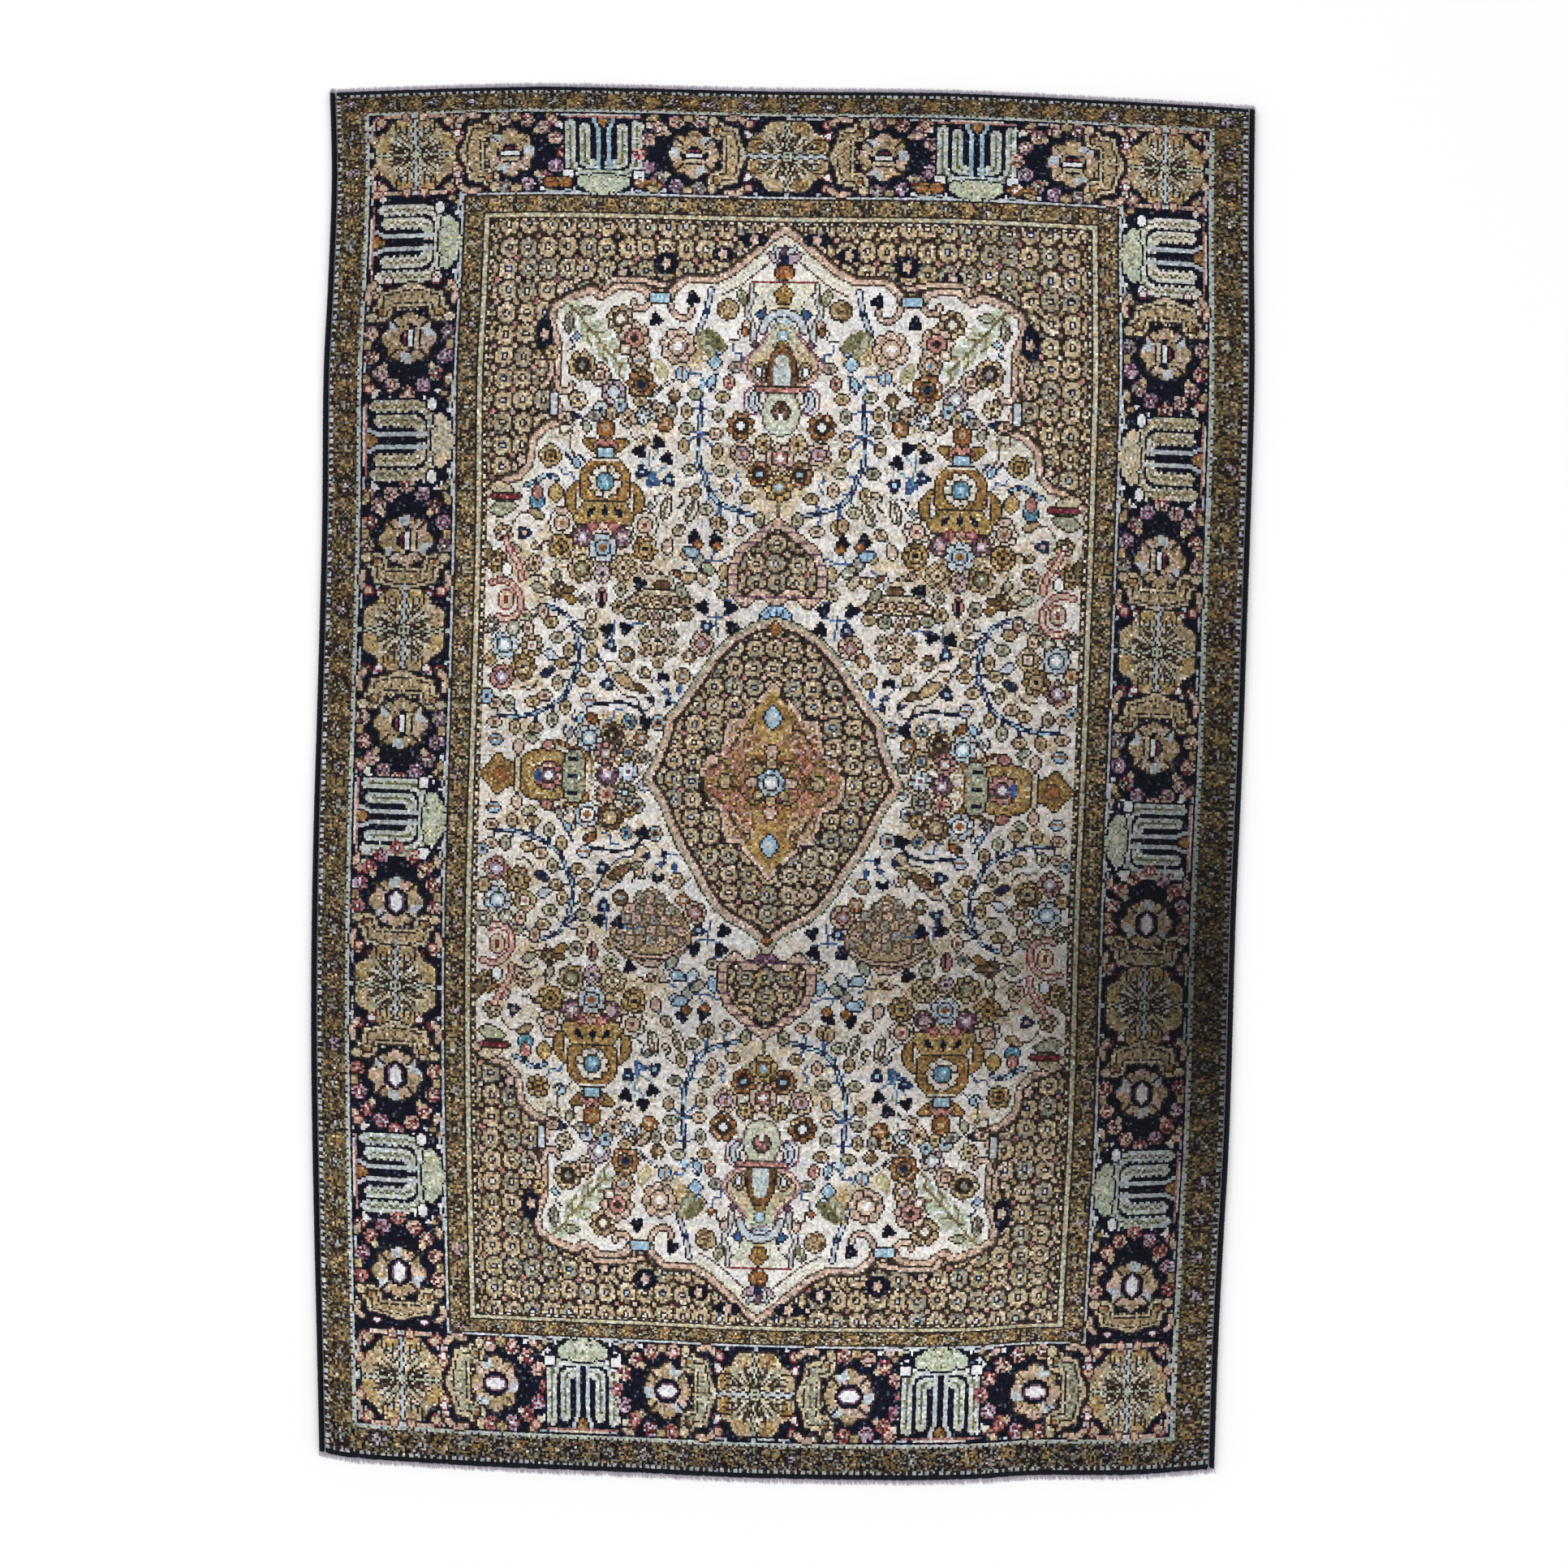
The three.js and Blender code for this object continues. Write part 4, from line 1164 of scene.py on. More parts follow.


# From the chart to the cloth. Below, painted shade and painted light of the nap, put into the knots' colours:
# patches darkened where the nap lies away from the light, and lightened where the depth is negative, as shares of
# the width and the length:
# place across and down, reach across and down, and depth.
PAINTED_NAP_SHADE_AND_LIGHT = ((1.0, 0.68, 0.22, 0.3, 0.46), (0.5, 0.0, 0.9, 0.06, 0.14), (0.06, 0.28, 0.09, 0.36, 0.18),
              (0.9, 0.62, 0.5, 0.09, 0.1), (1.0, 0.2, 0.08, 0.3, 0.14), (0.5, 0.5, 0.36, 0.24, 0.05),
              (0.4, 0.66, 0.7, 0.07, 0.08), (0.5, 1.0, 0.9, 0.03, 0.16), (0.3, 0.89, 0.3, 0.07, -0.09),
              (0.8, 0.87, 0.2, 0.1, -0.12))


def linear(color):
    """Linear values of an sRGB colour."""
    c = np.asarray(color, float)
    return np.where(c <= 0.04045, c / 12.92, ((c + 0.055) / 1.055) ** 2.4)


def drift(shape, cell, seed):
    """Smooth random values from -1 to 1 over a grid, with cells of that many knots across and along."""
    rng = np.random.default_rng(seed)
    rows, columns = shape
    coarse = rng.uniform(-1, 1, (int(rows / cell[1]) + 3, int(columns / cell[0]) + 3))
    y, x = np.arange(rows) / cell[1], np.arange(columns) / cell[0]
    i, j = y.astype(int), x.astype(int)
    u, v = y - i, x - j
    u, v = (u * u * (3 - 2 * u))[:, None], (v * v * (3 - 2 * v))[None]
    top = coarse[i][:, j] * (1 - v) + coarse[i][:, j + 1] * v
    low = coarse[i + 1][:, j] * (1 - v) + coarse[i + 1][:, j + 1] * v
    return top * (1 - u) + low * u


def knot_colors(chart, palette, speckle, seed):
    """Linear colour of each knot: its ink, with dye lots, uneven knots, painted silk glints, painted dark gaps
    between knots and the nap's painted shade and light over it.
    """
    srgb = np.array(palette, float)[chart]
    rng = np.random.default_rng(seed)
    shape = chart.shape
    grain = rng.normal(0, 1, shape)
    glint = rng.random(shape)
    lot = drift(shape, (60, 1.6), seed + 1) * 0.6 + drift(shape, (14, 4), seed + 2) * 0.5
    # Painted sheen: the nap's light and shade, drifting at random over patches of about 90 by 120 knots
    nap = drift(shape, (90, 120), seed + 3)
    y, x = np.mgrid[0:shape[0], 0:shape[1]]
    u, v = x / shape[1], y / shape[0]
    # Painted shade and painted light of the nap, patch by patch from the table above
    shade = np.ones(shape)
    for du, dv, wide, high, depth in PAINTED_NAP_SHADE_AND_LIGHT:
        shade -= depth * np.exp(-(((u - du) / wide) ** 2 + ((v - dv) / high) ** 2))
    pale = srgb.mean(-1)
    # Uneven shade of single knots, stronger on dark inks: partly their own dye, partly painted sheen
    grip = speckle * (0.24 - 0.17 * pale)
    value = 1 + grip * grain + 0.06 * lot + 0.03 * nap
    # Painted shade: about one knot in ten that is not pale is darkened, as a gap between tufts
    value = np.where((glint < 0.1) & (pale < 0.7), value - speckle * 0.35, value)
    out = srgb * (np.clip(value, 0.25, 1.7) * shade)[..., None]
    # Painted highlights: a few dark and middle knots get a cool white glint added, dimmed with the nap's painted
    # shade
    painted_glint = np.where((glint > 0.93) & (pale < 0.72), speckle * (0.1 + 0.24 * (glint - 0.93) / 0.07), 0.0)
    out += (painted_glint * shade)[..., None] * np.array([0.94, 0.96, 1.0])
    warm = drift(shape, (26, 3), seed + 4)[..., None] * np.array([0.02, 0.0, -0.03])
    tint = rng.normal(0, 0.01, (*shape, 3))
    return linear(np.clip(out + warm * out + tint, 0, 1))


def between(lines, place, stops):
    """Linear reading between lines, for stops that change from place to place."""
    out = np.zeros(stops[0].shape)
    for (l0, l1), (s0, s1) in zip(zip(lines, lines[1:]), zip(stops, stops[1:])):
        t = (place - l0) / (l1 - l0)
        out = np.where((t >= 0) & (t <= 1), s0 + (s1 - s0) * t, out)
    return out


def knot_grid():
    """Corners of all knots in metres, (ROWS + 1) x (COLUMNS + 1) x 2, drawn in and bulged as the rug is."""
    column_lines = [*STRIPES, COLUMNS / 2, *[COLUMNS - s for s in reversed(STRIPES)]]
    row_lines = [*STRIPES, ROWS / 2, *[ROWS - s for s in reversed(STRIPES)]]
    columns, rows = np.arange(COLUMNS + 1, dtype=float), np.arange(ROWS + 1, dtype=float)
    x = np.tile(np.linspace(-300, 300, COLUMNS + 1), (ROWS + 1, 1))
    y = np.tile(np.linspace(455, -455, ROWS + 1)[:, None], (1, COLUMNS + 1))

    for _ in range(ROUNDS):
        left, right = read_edge(LEFT_EDGE, y), read_edge(RIGHT_EDGE, y)
        axis = AXIS_SHIFT + AXIS_LEAN * y
        x_new = between(column_lines, columns[None],
                        [*[left + s for s in LEFT_STRIPES], axis, *[right - s for s in reversed(RIGHT_STRIPES)]])
        top, low = read_edge(TOP_EDGE, x), read_edge(BOTTOM_EDGE, x)
        middle = MIDDLE_SHIFT + MIDDLE_LEAN * x
        y_new = between(row_lines, rows[:, None],
                        [*[top - s for s in TOP_STRIPES], middle, *[low + s for s in reversed(BOTTOM_STRIPES)]])
        x, y = x_new, y_new
    return np.stack([x, y], -1) * MM


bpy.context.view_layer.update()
FOUNDATION_TOP = 1.2 * MM  # the pile stands on it, and the woven end bands lie on it
WEB_TOP = 1.6 * MM
PILE_TOP = 5.0 * MM
PILE_EDGE = 4.3 * MM  # height of the pile at its very edge, where the shoulder begins
CLOTH_SIDE = 4.5  # millimetres from the outer edge to the edge of the cloth, as in the part's source
CLOTH_TOP = 3.2
CLOTH_BOTTOM = 4.6
PILE_STRIPS = 4
BAND_PICKS = 7  # weft picks across an end band
BAND_STEPS = 1100  # warps along it
SELVEDGE = 4.2  # width of an overcast cord
CORD_HEIGHT = 4.4
FRINGE_TOP = 2.9
FRINGE_BOTTOM = 4.3


# Settings

def ink_property(name, label, rgb):
    """The setting of one dye."""
    return bpy.props.FloatVectorProperty(
        name=label, description=f"Dyed colour of the {name} knots", subtype="COLOR_GAMMA", size=3,
        default=tuple(v / 255 for v in rgb), min=0, max=1)


class RugInks(bpy.types.PropertyGroup):
    """Dyes of the pile."""

    __annotations__ = {name: ink_property(name, label, rgb) for name, label, rgb in INKS}


class RugSettings(bpy.types.PropertyGroup):
    """Sizes and finishes of the rug."""

    seed: bpy.props.IntProperty(name="Seed", description="Seed of everything uneven", default=7, min=0)
    # Speckle also sets the strength of the painted glints and of the painted dark gaps between knots.
    speckle: bpy.props.FloatProperty(
        name="Speckle", description="How much single knots differ in shade", default=1.0, min=0, max=2,
        subtype="FACTOR")
    clip: bpy.props.FloatProperty(
        name="Clipping", description="Unevenness of the clipped pile", default=0.22 * MM, min=0, max=1 * MM,
        unit="LENGTH")
    knot_slip: bpy.props.FloatProperty(
        name="Knot slip", description="How far a knot strays from its place, as a share of a knot", default=0.2,
        min=0, max=0.4, subtype="FACTOR")
    wrap_pitch: bpy.props.FloatProperty(
        name="Wrap pitch", description="From one overcast wrap to the next", default=1.25 * MM, min=0.5 * MM,
        max=4 * MM,
        unit="LENGTH")
    wrap_yarn: bpy.props.FloatProperty(
        name="Wrap yarn", description="Thickness of the overcasting yarn", default=1.3 * MM, min=0.4 * MM,
        max=3 * MM,
        unit="LENGTH")
    fringe_yarns: bpy.props.IntProperty(
        name="Fringe yarns", description="Warp ends in each fringe", default=540, min=50, max=900)
    fringe_yarn: bpy.props.FloatProperty(
        name="Fringe yarn", description="Thickness of a warp end", default=1.0 * MM, min=0.2 * MM, max=2 * MM,
        unit="LENGTH")
    binding_color: bpy.props.FloatVectorProperty(
        name="Binding", description="Yarn of the sides and end bands", subtype="COLOR_GAMMA", size=3,
        default=(0.045, 0.05, 0.10), min=0, max=1)
    fringe_color: bpy.props.FloatVectorProperty(
        name="Fringe", description="Warp ends", subtype="COLOR_GAMMA", size=3, default=(0.68, 0.65, 0.71), min=0,
        max=1)
    floor_color: bpy.props.FloatVectorProperty(
        name="Floor", description="Floor under the rug", subtype="COLOR_GAMMA", size=3,
        default=(0.985, 0.985, 0.985),
        min=0, max=1)


def settings():
    """The sizes and finishes that are set for this rug."""
    return bpy.context.scene.silk_rug


def palette():
    """The dyes that are set, in the order of the inks."""
    return [tuple(getattr(bpy.context.scene.silk_rug_inks, name)) for name, _, _ in INKS]


# Meshes

def new_piece(name, mesh, material):
    """An object of one mesh and one material, tied to the part and given its slot."""
    obj = bpy.data.objects.new(name, mesh)
    bpy.context.scene.collection.objects.link(obj)
    obj.data.materials.clear()
    obj.data.materials.append(material)
    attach(obj, "root")
    return obj


def slab(name, corners, heights, flat_z, colors, edge_color, blocks):
    """A closed slab. One side is a grid of knots at the given corners and heights, and the other is flat.
    The knot side looks up where it is the higher one. Its bake layout has the grid in blocks side by side."""
    rows, columns = corners.shape[0] - 1, corners.shape[1] - 1
    step = 1 if heights.mean() > flat_z else -1  # the order of each face's corners
    grid = np.arange((rows + 1) * (columns + 1)).reshape(rows + 1, columns + 1)
    rim = np.concatenate([grid[0, :-1], grid[:-1, -1], grid[-1, :0:-1], grid[:0:-1, 0]])
    flat = np.full(grid.size, -1)
    flat[rim] = grid.size + np.arange(len(rim))
    points = np.concatenate([np.dstack([corners, heights]).reshape(-1, 3),
                             np.column_stack([corners.reshape(-1, 2)[rim], np.full(len(rim), flat_z)])])
    top = np.stack([grid[1:, :-1], grid[1:, 1:], grid[:-1, 1:], grid[:-1, :-1]], -1).reshape(-1, 4)
    nxt = np.roll(rim, -1)
    wall = np.stack([rim, nxt, flat[nxt], flat[rim]], -1)
    left, right = flat[grid[:, 0]], flat[grid[:, -1]]
    under = np.stack([left[1:-2], right[1:-2], right[2:-1], left[2:-1]], -1)
    first = [*flat[grid[0]], right[1], left[1]]
    last = [left[-2], right[-2], *flat[grid[-1, ::-1]]]
    flat_faces = [[int(i) for i in face] for face in (*under, first, last)]
    faces = [face[::step] for face in (*top.tolist(), *wall.tolist(), *flat_faces)]
    mesh = bpy.data.meshes.new(name)
    mesh.from_pydata(points.tolist(), [], faces)
    shades = np.ones((len(faces), 4), np.float32)
    shades[:, :3] = edge_color
    shades[:len(top), :3] = colors.reshape(-1, 3)
    # The walls take the colours of the edge knots at 0.8: painted shade on the sides of the slab
    border = np.concatenate([colors[0], colors[:, -1], colors[-1, ::-1], colors[::-1, 0]])
    shades[len(top):len(top) + len(wall), :3] = border * 0.8
    mesh.attributes.new("knot_color", "FLOAT_COLOR", "FACE").data.foreach_set("color", shades.ravel())

    knot_u, knot_v = np.meshgrid(np.arange(columns + 1.0), np.arange(rows + 1.0))
    knots = np.stack([knot_u, -knot_v], -1).reshape(-1, 2)
    knots = np.concatenate([knots, knots[rim]])
    # Bake layout: blocks of the grid side by side, the flat side and the walls in the strip that is left
    block_rows = math.ceil(rows / blocks)
    row_of = np.repeat(np.arange(rows), columns)
    block = row_of // block_rows
    width = 0.9 / blocks
    layout = []
    for corner in range(4):
        r = top[:, corner] // (columns + 1) - block * block_rows
        c = top[:, corner] % (columns + 1)
        layout.append(np.stack([0.008 + block * width + c / columns * (width - 0.01), 0.99 - r / block_rows * 0.98],
                               -1))
    layout = np.stack(layout, 1)
    run = np.linspace(0.01, 0.99, len(rim) + 1)
    wall_layout = np.stack([np.stack([np.full(len(rim), u), v], -1) for u, v in (
        (0.985, run[:-1]), (0.985, run[1:]), (0.975, run[1:]), (0.975, run[:-1]))], 1)
    spot = {}
    for i, (a, b) in enumerate(zip(left, right)):
        spot[int(a)] = (0.92, 0.99 - i / rows * 0.98)
        spot[int(b)] = (0.96, 0.99 - i / rows * 0.98)
    for i in range(columns + 1):
        spot[int(flat[grid[0, i]])] = (0.92 + 0.04 * i / columns, 0.99)
        spot[int(flat[grid[-1, i]])] = (0.92 + 0.04 * i / columns, 0.01)
    flat_layout = np.array([spot[v] for face in flat_faces for v in face[::step]])
    loops = np.concatenate([layout[:, ::step].reshape(-1, 2), wall_layout[:, ::step].reshape(-1, 2), flat_layout])
    mesh.uv_layers.new(name="OFBake").data.foreach_set("uv", loops.astype(np.float32).ravel())
    index = np.zeros(len(mesh.loops), np.int32)
    mesh.loops.foreach_get("vertex_index", index)
    mesh.uv_layers.new(name="Knots").data.foreach_set("uv", knots[index].astype(np.float32).ravel())
    if mesh.validate():
        raise ValueError(f"{name} had faults in its faces")
    return mesh


def edge_path(name, points):
    """A line of points as bare edges, for a tree of nodes to follow."""
    mesh = bpy.data.meshes.new(name)
    mesh.from_pydata([tuple(p) for p in points], [(i, i + 1) for i in range(len(points) - 1)], [])
    obj = bpy.data.objects.new(name, mesh)
    bpy.context.scene.collection.objects.link(obj)
    return obj


def grown(name, path, tree, values, material):
    """The plain mesh that a tree of geometry nodes makes along a path."""
    modifier = path.modifiers.new(name, "NODES")
    modifier.node_group = tree
    for item in tree.interface.items_tree:
        if item.item_type == "SOCKET" and item.in_out == "INPUT" and item.name in values:
            modifier[item.identifier] = values[item.name]
    evaluated = path.evaluated_get(bpy.context.evaluated_depsgraph_get())
    mesh = bpy.data.meshes.new_from_object(evaluated)
    mesh.name = name
    bpy.data.objects.remove(path)
    if not len(mesh.polygons):
        raise ValueError(f"{name} came out empty")
    return new_piece(name, mesh, material)


class Nodes:
    """Short way to add nodes to a tree and join their sockets."""

    def __init__(self, tree):
        self.tree = tree

    def add(self, kind, inputs=None, **settings_of_node):
        node = self.tree.nodes.new(kind)
        for key, value in settings_of_node.items():
            setattr(node, key, value)
        self.fill(node, inputs or {})
        return node

    def fill(self, node, inputs):
        """Gives a node's inputs their values, or joins them to other sockets."""
        for key, value in inputs.items():
            if isinstance(value, bpy.types.NodeSocket):
                self.tree.links.new(value, node.inputs[key])
            else:
                node.inputs[key].default_value = value

    def out(self, kind, inputs=None, **settings_of_node):
        """The first output of a new node."""
        return self.add(kind, inputs, **settings_of_node).outputs[0]

    def math(self, operation, *values):
        """The result of one step of arithmetic."""
        return self.out("ShaderNodeMath", dict(enumerate(values)), operation=operation)


def new_tree(name, kind, inputs, outputs):
    """An empty node tree with named inputs and outputs."""
    tree = bpy.data.node_groups.new(name, kind)
    for label, socket, default in inputs:
        made = tree.interface.new_socket(name=label, in_out="INPUT", socket_type=socket)
        if default is not None:
            made.default_value = default
    for label, socket in outputs:
        tree.interface.new_socket(name=label, in_out="OUTPUT", socket_type=socket)
    nodes = Nodes(tree)
    return tree, nodes, nodes.add("NodeGroupInput").outputs, nodes.add("NodeGroupOutput").inputs


def circle(n, corners, radius):
    """A round curve with that many corners."""
    return n.out("GeometryNodeCurvePrimitiveCircle", {"Resolution": corners, "Radius": radius})


def end_tree(n, given, result, shape, lowest):
    """Ends a tree: one mesh, nowhere lower than it may lie, with its material."""
    whole = n.out("GeometryNodeRealizeInstances", {"Geometry": shape})
    place = n.add("ShaderNodeSeparateXYZ", {0: n.out("GeometryNodeInputPosition")}).outputs
    height = n.math("MAXIMUM", place["Z"], lowest)
    resting = n.out("ShaderNodeCombineXYZ", {"X": place["X"], "Y": place["Y"], "Z": height})
    whole = n.out("GeometryNodeSetPosition", {"Geometry": whole, "Position": resting})
    whole = n.out("GeometryNodeSetMaterial", {"Geometry": whole, "Material": given["Material"]})
    n.tree.links.new(whole, result["Geometry"])
    return n.tree


def overcast_tree():
    """Wraps of yarn round a core of bundled warps, one after another along the path."""
    tree, n, given, result = new_tree("overcast_wraps", "GeometryNodeTree", [
        ("Geometry", "NodeSocketGeometry", None), ("Pitch", "NodeSocketFloat", 0.00125),
        ("Width", "NodeSocketFloat", 0.0042),
        ("Height", "NodeSocketFloat", 0.0044), ("Yarn", "NodeSocketFloat", 0.0013), ("Seed", "NodeSocketInt", 0),
        ("Material", "NodeSocketMaterial", None)], [("Geometry", "NodeSocketGeometry")])
    path = n.out("GeometryNodeMeshToCurve", {"Mesh": given["Geometry"]})
    stops = n.out("GeometryNodeResampleCurve", {"Curve": path, "Length": given["Pitch"]}, mode="LENGTH")
    half_width = n.math("MULTIPLY", n.math("SUBTRACT", given["Width"], given["Yarn"]), 0.5)
    half_height = n.math("MULTIPLY", n.math("SUBTRACT", given["Height"], given["Yarn"]), 0.5)
    ring = circle(n, 12, 1.0)
    squash = n.out("ShaderNodeCombineXYZ", {"X": half_width, "Y": half_height, "Z": 1.0})
    ring = n.out("GeometryNodeTransform", {"Geometry": ring, "Scale": squash, "Rotation": (0.12, 0.2, 0.0)})
    round_yarn = circle(n, 5, n.math("MULTIPLY", given["Yarn"], 0.5))
    wrap = n.out("GeometryNodeCurveToMesh", {"Curve": ring, "Profile Curve": round_yarn})
    tangent = n.out("GeometryNodeInputTangent")
    facing = n.out("FunctionNodeAlignRotationToVector", {"Vector": tangent}, axis="Z")
    tilt = n.out("FunctionNodeRandomValue", {
        "Min": (-0.07, -0.09, -0.2), "Max": (0.07, 0.09, 0.2), "Seed": given["Seed"]}, data_type="FLOAT_VECTOR")
    turned = n.out("FunctionNodeRotateRotation", {
        "Rotation": facing, "Rotate By": n.out("FunctionNodeEulerToRotation", {"Euler": tilt})},
        rotation_space="LOCAL")
    size = n.out("FunctionNodeRandomValue", {"Min": (0.93, 0.93, 0.93), "Max": (1.0, 1.0, 1.0),
                                             "Seed": n.math("ADD", given["Seed"], 1)}, data_type="FLOAT_VECTOR")
    wraps = n.out("GeometryNodeInstanceOnPoints", {
        "Points": stops, "Instance": wrap, "Rotation": turned, "Scale": size})
    core_round = circle(n, 8, n.math("MULTIPLY", half_height, 0.96))
    core = n.out("GeometryNodeCurveToMesh", {"Curve": path, "Profile Curve": core_round, "Fill Caps": True})
    joined = n.add("GeometryNodeJoinGeometry")
    tree.links.new(wraps, joined.inputs[0])
    tree.links.new(core, joined.inputs[0])
    return end_tree(n, given, result, joined.outputs[0], 0.00005)


def fringe_tree():
    """Warp ends side by side along the path, each drooping to the floor from its root."""
    _, n, given, result = new_tree("warp_ends", "GeometryNodeTree", [
        ("Geometry", "NodeSocketGeometry", None), ("Count", "NodeSocketInt", 430),
        ("Length", "NodeSocketFloat", 0.003),
        ("Yarn", "NodeSocketFloat", 0.00075), ("Outward", "NodeSocketFloat", 1.0), ("Seed", "NodeSocketInt", 0),
        ("Material", "NodeSocketMaterial", None)], [("Geometry", "NodeSocketGeometry")])
    path = n.out("GeometryNodeMeshToCurve", {"Mesh": given["Geometry"]})
    stops = n.out("GeometryNodeResampleCurve", {"Curve": path, "Count": given["Count"]}, mode="COUNT")
    reach = n.math("MULTIPLY", given["Length"], given["Outward"])
    rise = n.math("MULTIPLY", given["Yarn"], 0.45)
    middle = n.out("ShaderNodeCombineXYZ", {"X": 0.0, "Y": n.math("MULTIPLY", reach, 0.5), "Z": rise})
    tip = n.out("ShaderNodeCombineXYZ", {"X": 0.0, "Y": reach, "Z": n.math("MULTIPLY", given["Yarn"], -0.35)})
    line = n.out("GeometryNodeCurveQuadraticBezier", {
        "Resolution": 4, "Start": (0, 0, 0), "Middle": middle, "End": tip})
    along = n.add("GeometryNodeSplineParameter").outputs["Factor"]
    taper = n.math("SUBTRACT", 1.0, n.math("MULTIPLY", along, 0.45))
    round_yarn = circle(n, 5, n.math("MULTIPLY", given["Yarn"], 0.5))
    yarn = n.out("GeometryNodeCurveToMesh", {
        "Curve": line, "Profile Curve": round_yarn, "Scale": taper, "Fill Caps": True})
    lean = n.out("FunctionNodeRandomValue", {
        "Min": (-0.08, -0.1, -0.3), "Max": (0.08, 0.1, 0.3), "Seed": given["Seed"]}, data_type="FLOAT_VECTOR")
    size = n.out("FunctionNodeRandomValue", {"Min": (0.8, 0.7, 0.85), "Max": (1.1, 0.98, 1.1),
                                             "Seed": n.math("ADD", given["Seed"], 1)}, data_type="FLOAT_VECTOR")
    yarns = n.out("GeometryNodeInstanceOnPoints", {
        "Points": stops, "Instance": yarn, "Scale": size,
        "Rotation": n.out("FunctionNodeEulerToRotation", {"Euler": lean})})
    return end_tree(n, given, result, yarns, 0.00003)


# Materials

def fibre_group():
    """Fine fibres for every yarn here: a shade and a height that run along one direction."""
    if "yarn_fibres" in bpy.data.node_groups:
        return bpy.data.node_groups["yarn_fibres"]
    tree, n, given, result = new_tree("yarn_fibres", "ShaderNodeTree", [
        ("Vector", "NodeSocketVector", None), ("Scale", "NodeSocketFloat", 4.0),
        ("Stretch", "NodeSocketVector", (1, 1, 1)),
        ("Contrast", "NodeSocketFloat", 0.2)], [("Shade", "NodeSocketFloat"), ("Height", "NodeSocketFloat")])
    place = n.out("ShaderNodeVectorMath", {0: given["Vector"], 1: given["Stretch"]}, operation="MULTIPLY")
    fine = n.out("ShaderNodeTexNoise", {"Vector": place, "Scale": given["Scale"], "Detail": 3.0, "Roughness": 0.6})
    offset = n.math("SUBTRACT", fine, 0.5)
    shade = n.math("ADD", 1.0, n.math("MULTIPLY", offset, n.math("MULTIPLY", given["Contrast"], 2.0)))
    tree.links.new(shade, result["Shade"])
    tree.links.new(fine, result["Height"])
    return tree


def new_material(name):
    """A material that has only its Principled shader so far."""
    material = bpy.data.materials.new(name)
    material.use_nodes = True
    material.node_tree.nodes.clear()
    n = Nodes(material.node_tree)
    shader = n.add("ShaderNodeBsdfPrincipled")
    out = n.add("ShaderNodeOutputMaterial", {"Surface": shader.outputs[0]})
    out.target = "ALL"
    return material, n, shader


def shaded(n, color, shade):
    """A colour made lighter or darker by a value round 1."""
    return n.out("ShaderNodeVectorMath", {0: color, 3: shade}, operation="SCALE")


def knot_material(name, roughness, sheen, relief):
    """Knots in the colours of the chart: each one a small dome of fibres."""
    material, n, shader = new_material(name)
    color = n.add("ShaderNodeAttribute", attribute_name="knot_color").outputs["Color"]
    uv = n.out("ShaderNodeUVMap", uv_map="Knots")
    fibres = n.add("ShaderNodeGroup", {"Vector": uv, "Scale": 2.6, "Stretch": (1.5, 0.7, 1), "Contrast": 0.3},
                   node_tree=fibre_group()).outputs
    part = n.add("ShaderNodeSeparateXYZ", {0: uv}).outputs
    domes = []
    for axis in ("X", "Y"):
        across = n.math("ABSOLUTE", n.math("SUBTRACT", n.math("FRACT", part[axis]), 0.5))
        domes.append(n.math("SUBTRACT", 1.0, n.math("POWER", n.math("MULTIPLY", across, 2.0), 2.4)))
    height = n.math("ADD", n.math("MULTIPLY", *domes), n.math("MULTIPLY", fibres["Height"], 0.8))
    bump = n.out("ShaderNodeBump", {"Strength": relief, "Distance": 0.0005, "Height": height})
    rough = n.math("ADD", roughness - 0.1, n.math("MULTIPLY", fibres["Height"], 0.2))
    n.fill(shader, {"Base Color": shaded(n, color, fibres["Shade"]), "Normal": bump, "Roughness": rough,
                    "Sheen Weight": sheen, "Sheen Roughness": 0.4, "Specular IOR Level": 0.06})
    return material


def yarn_material(name, color, roughness, scale, stretch, contrast, sheen):
    """Plied yarn of one dye, with fibres and uneven shade."""
    material, n, shader = new_material(name)
    place = n.add("ShaderNodeTexCoord").outputs["Object"]
    fibres = n.add("ShaderNodeGroup", {"Vector": place, "Scale": scale, "Stretch": stretch, "Contrast": contrast},
                   node_tree=fibre_group()).outputs
    base = n.out("ShaderNodeRGB")
    base.default_value = (*linear(color), 1)
    bump = n.out("ShaderNodeBump", {"Strength": 0.5, "Distance": 0.0003, "Height": fibres["Height"]})
    n.fill(shader, {"Base Color": shaded(n, base, fibres["Shade"]), "Normal": bump, "Roughness": roughness,
                    "Sheen Weight": sheen, "Specular IOR Level": 0.15})
    return material


def binding_yarn():
    """The yarn of the cords and the end bands, made once."""
    found = bpy.data.materials.get("navy_binding_yarn")
    return found or yarn_material("navy_binding_yarn", settings().binding_color, 0.6, 900.0, (1, 0.5, 1), 0.5, 0.03)


# Pieces

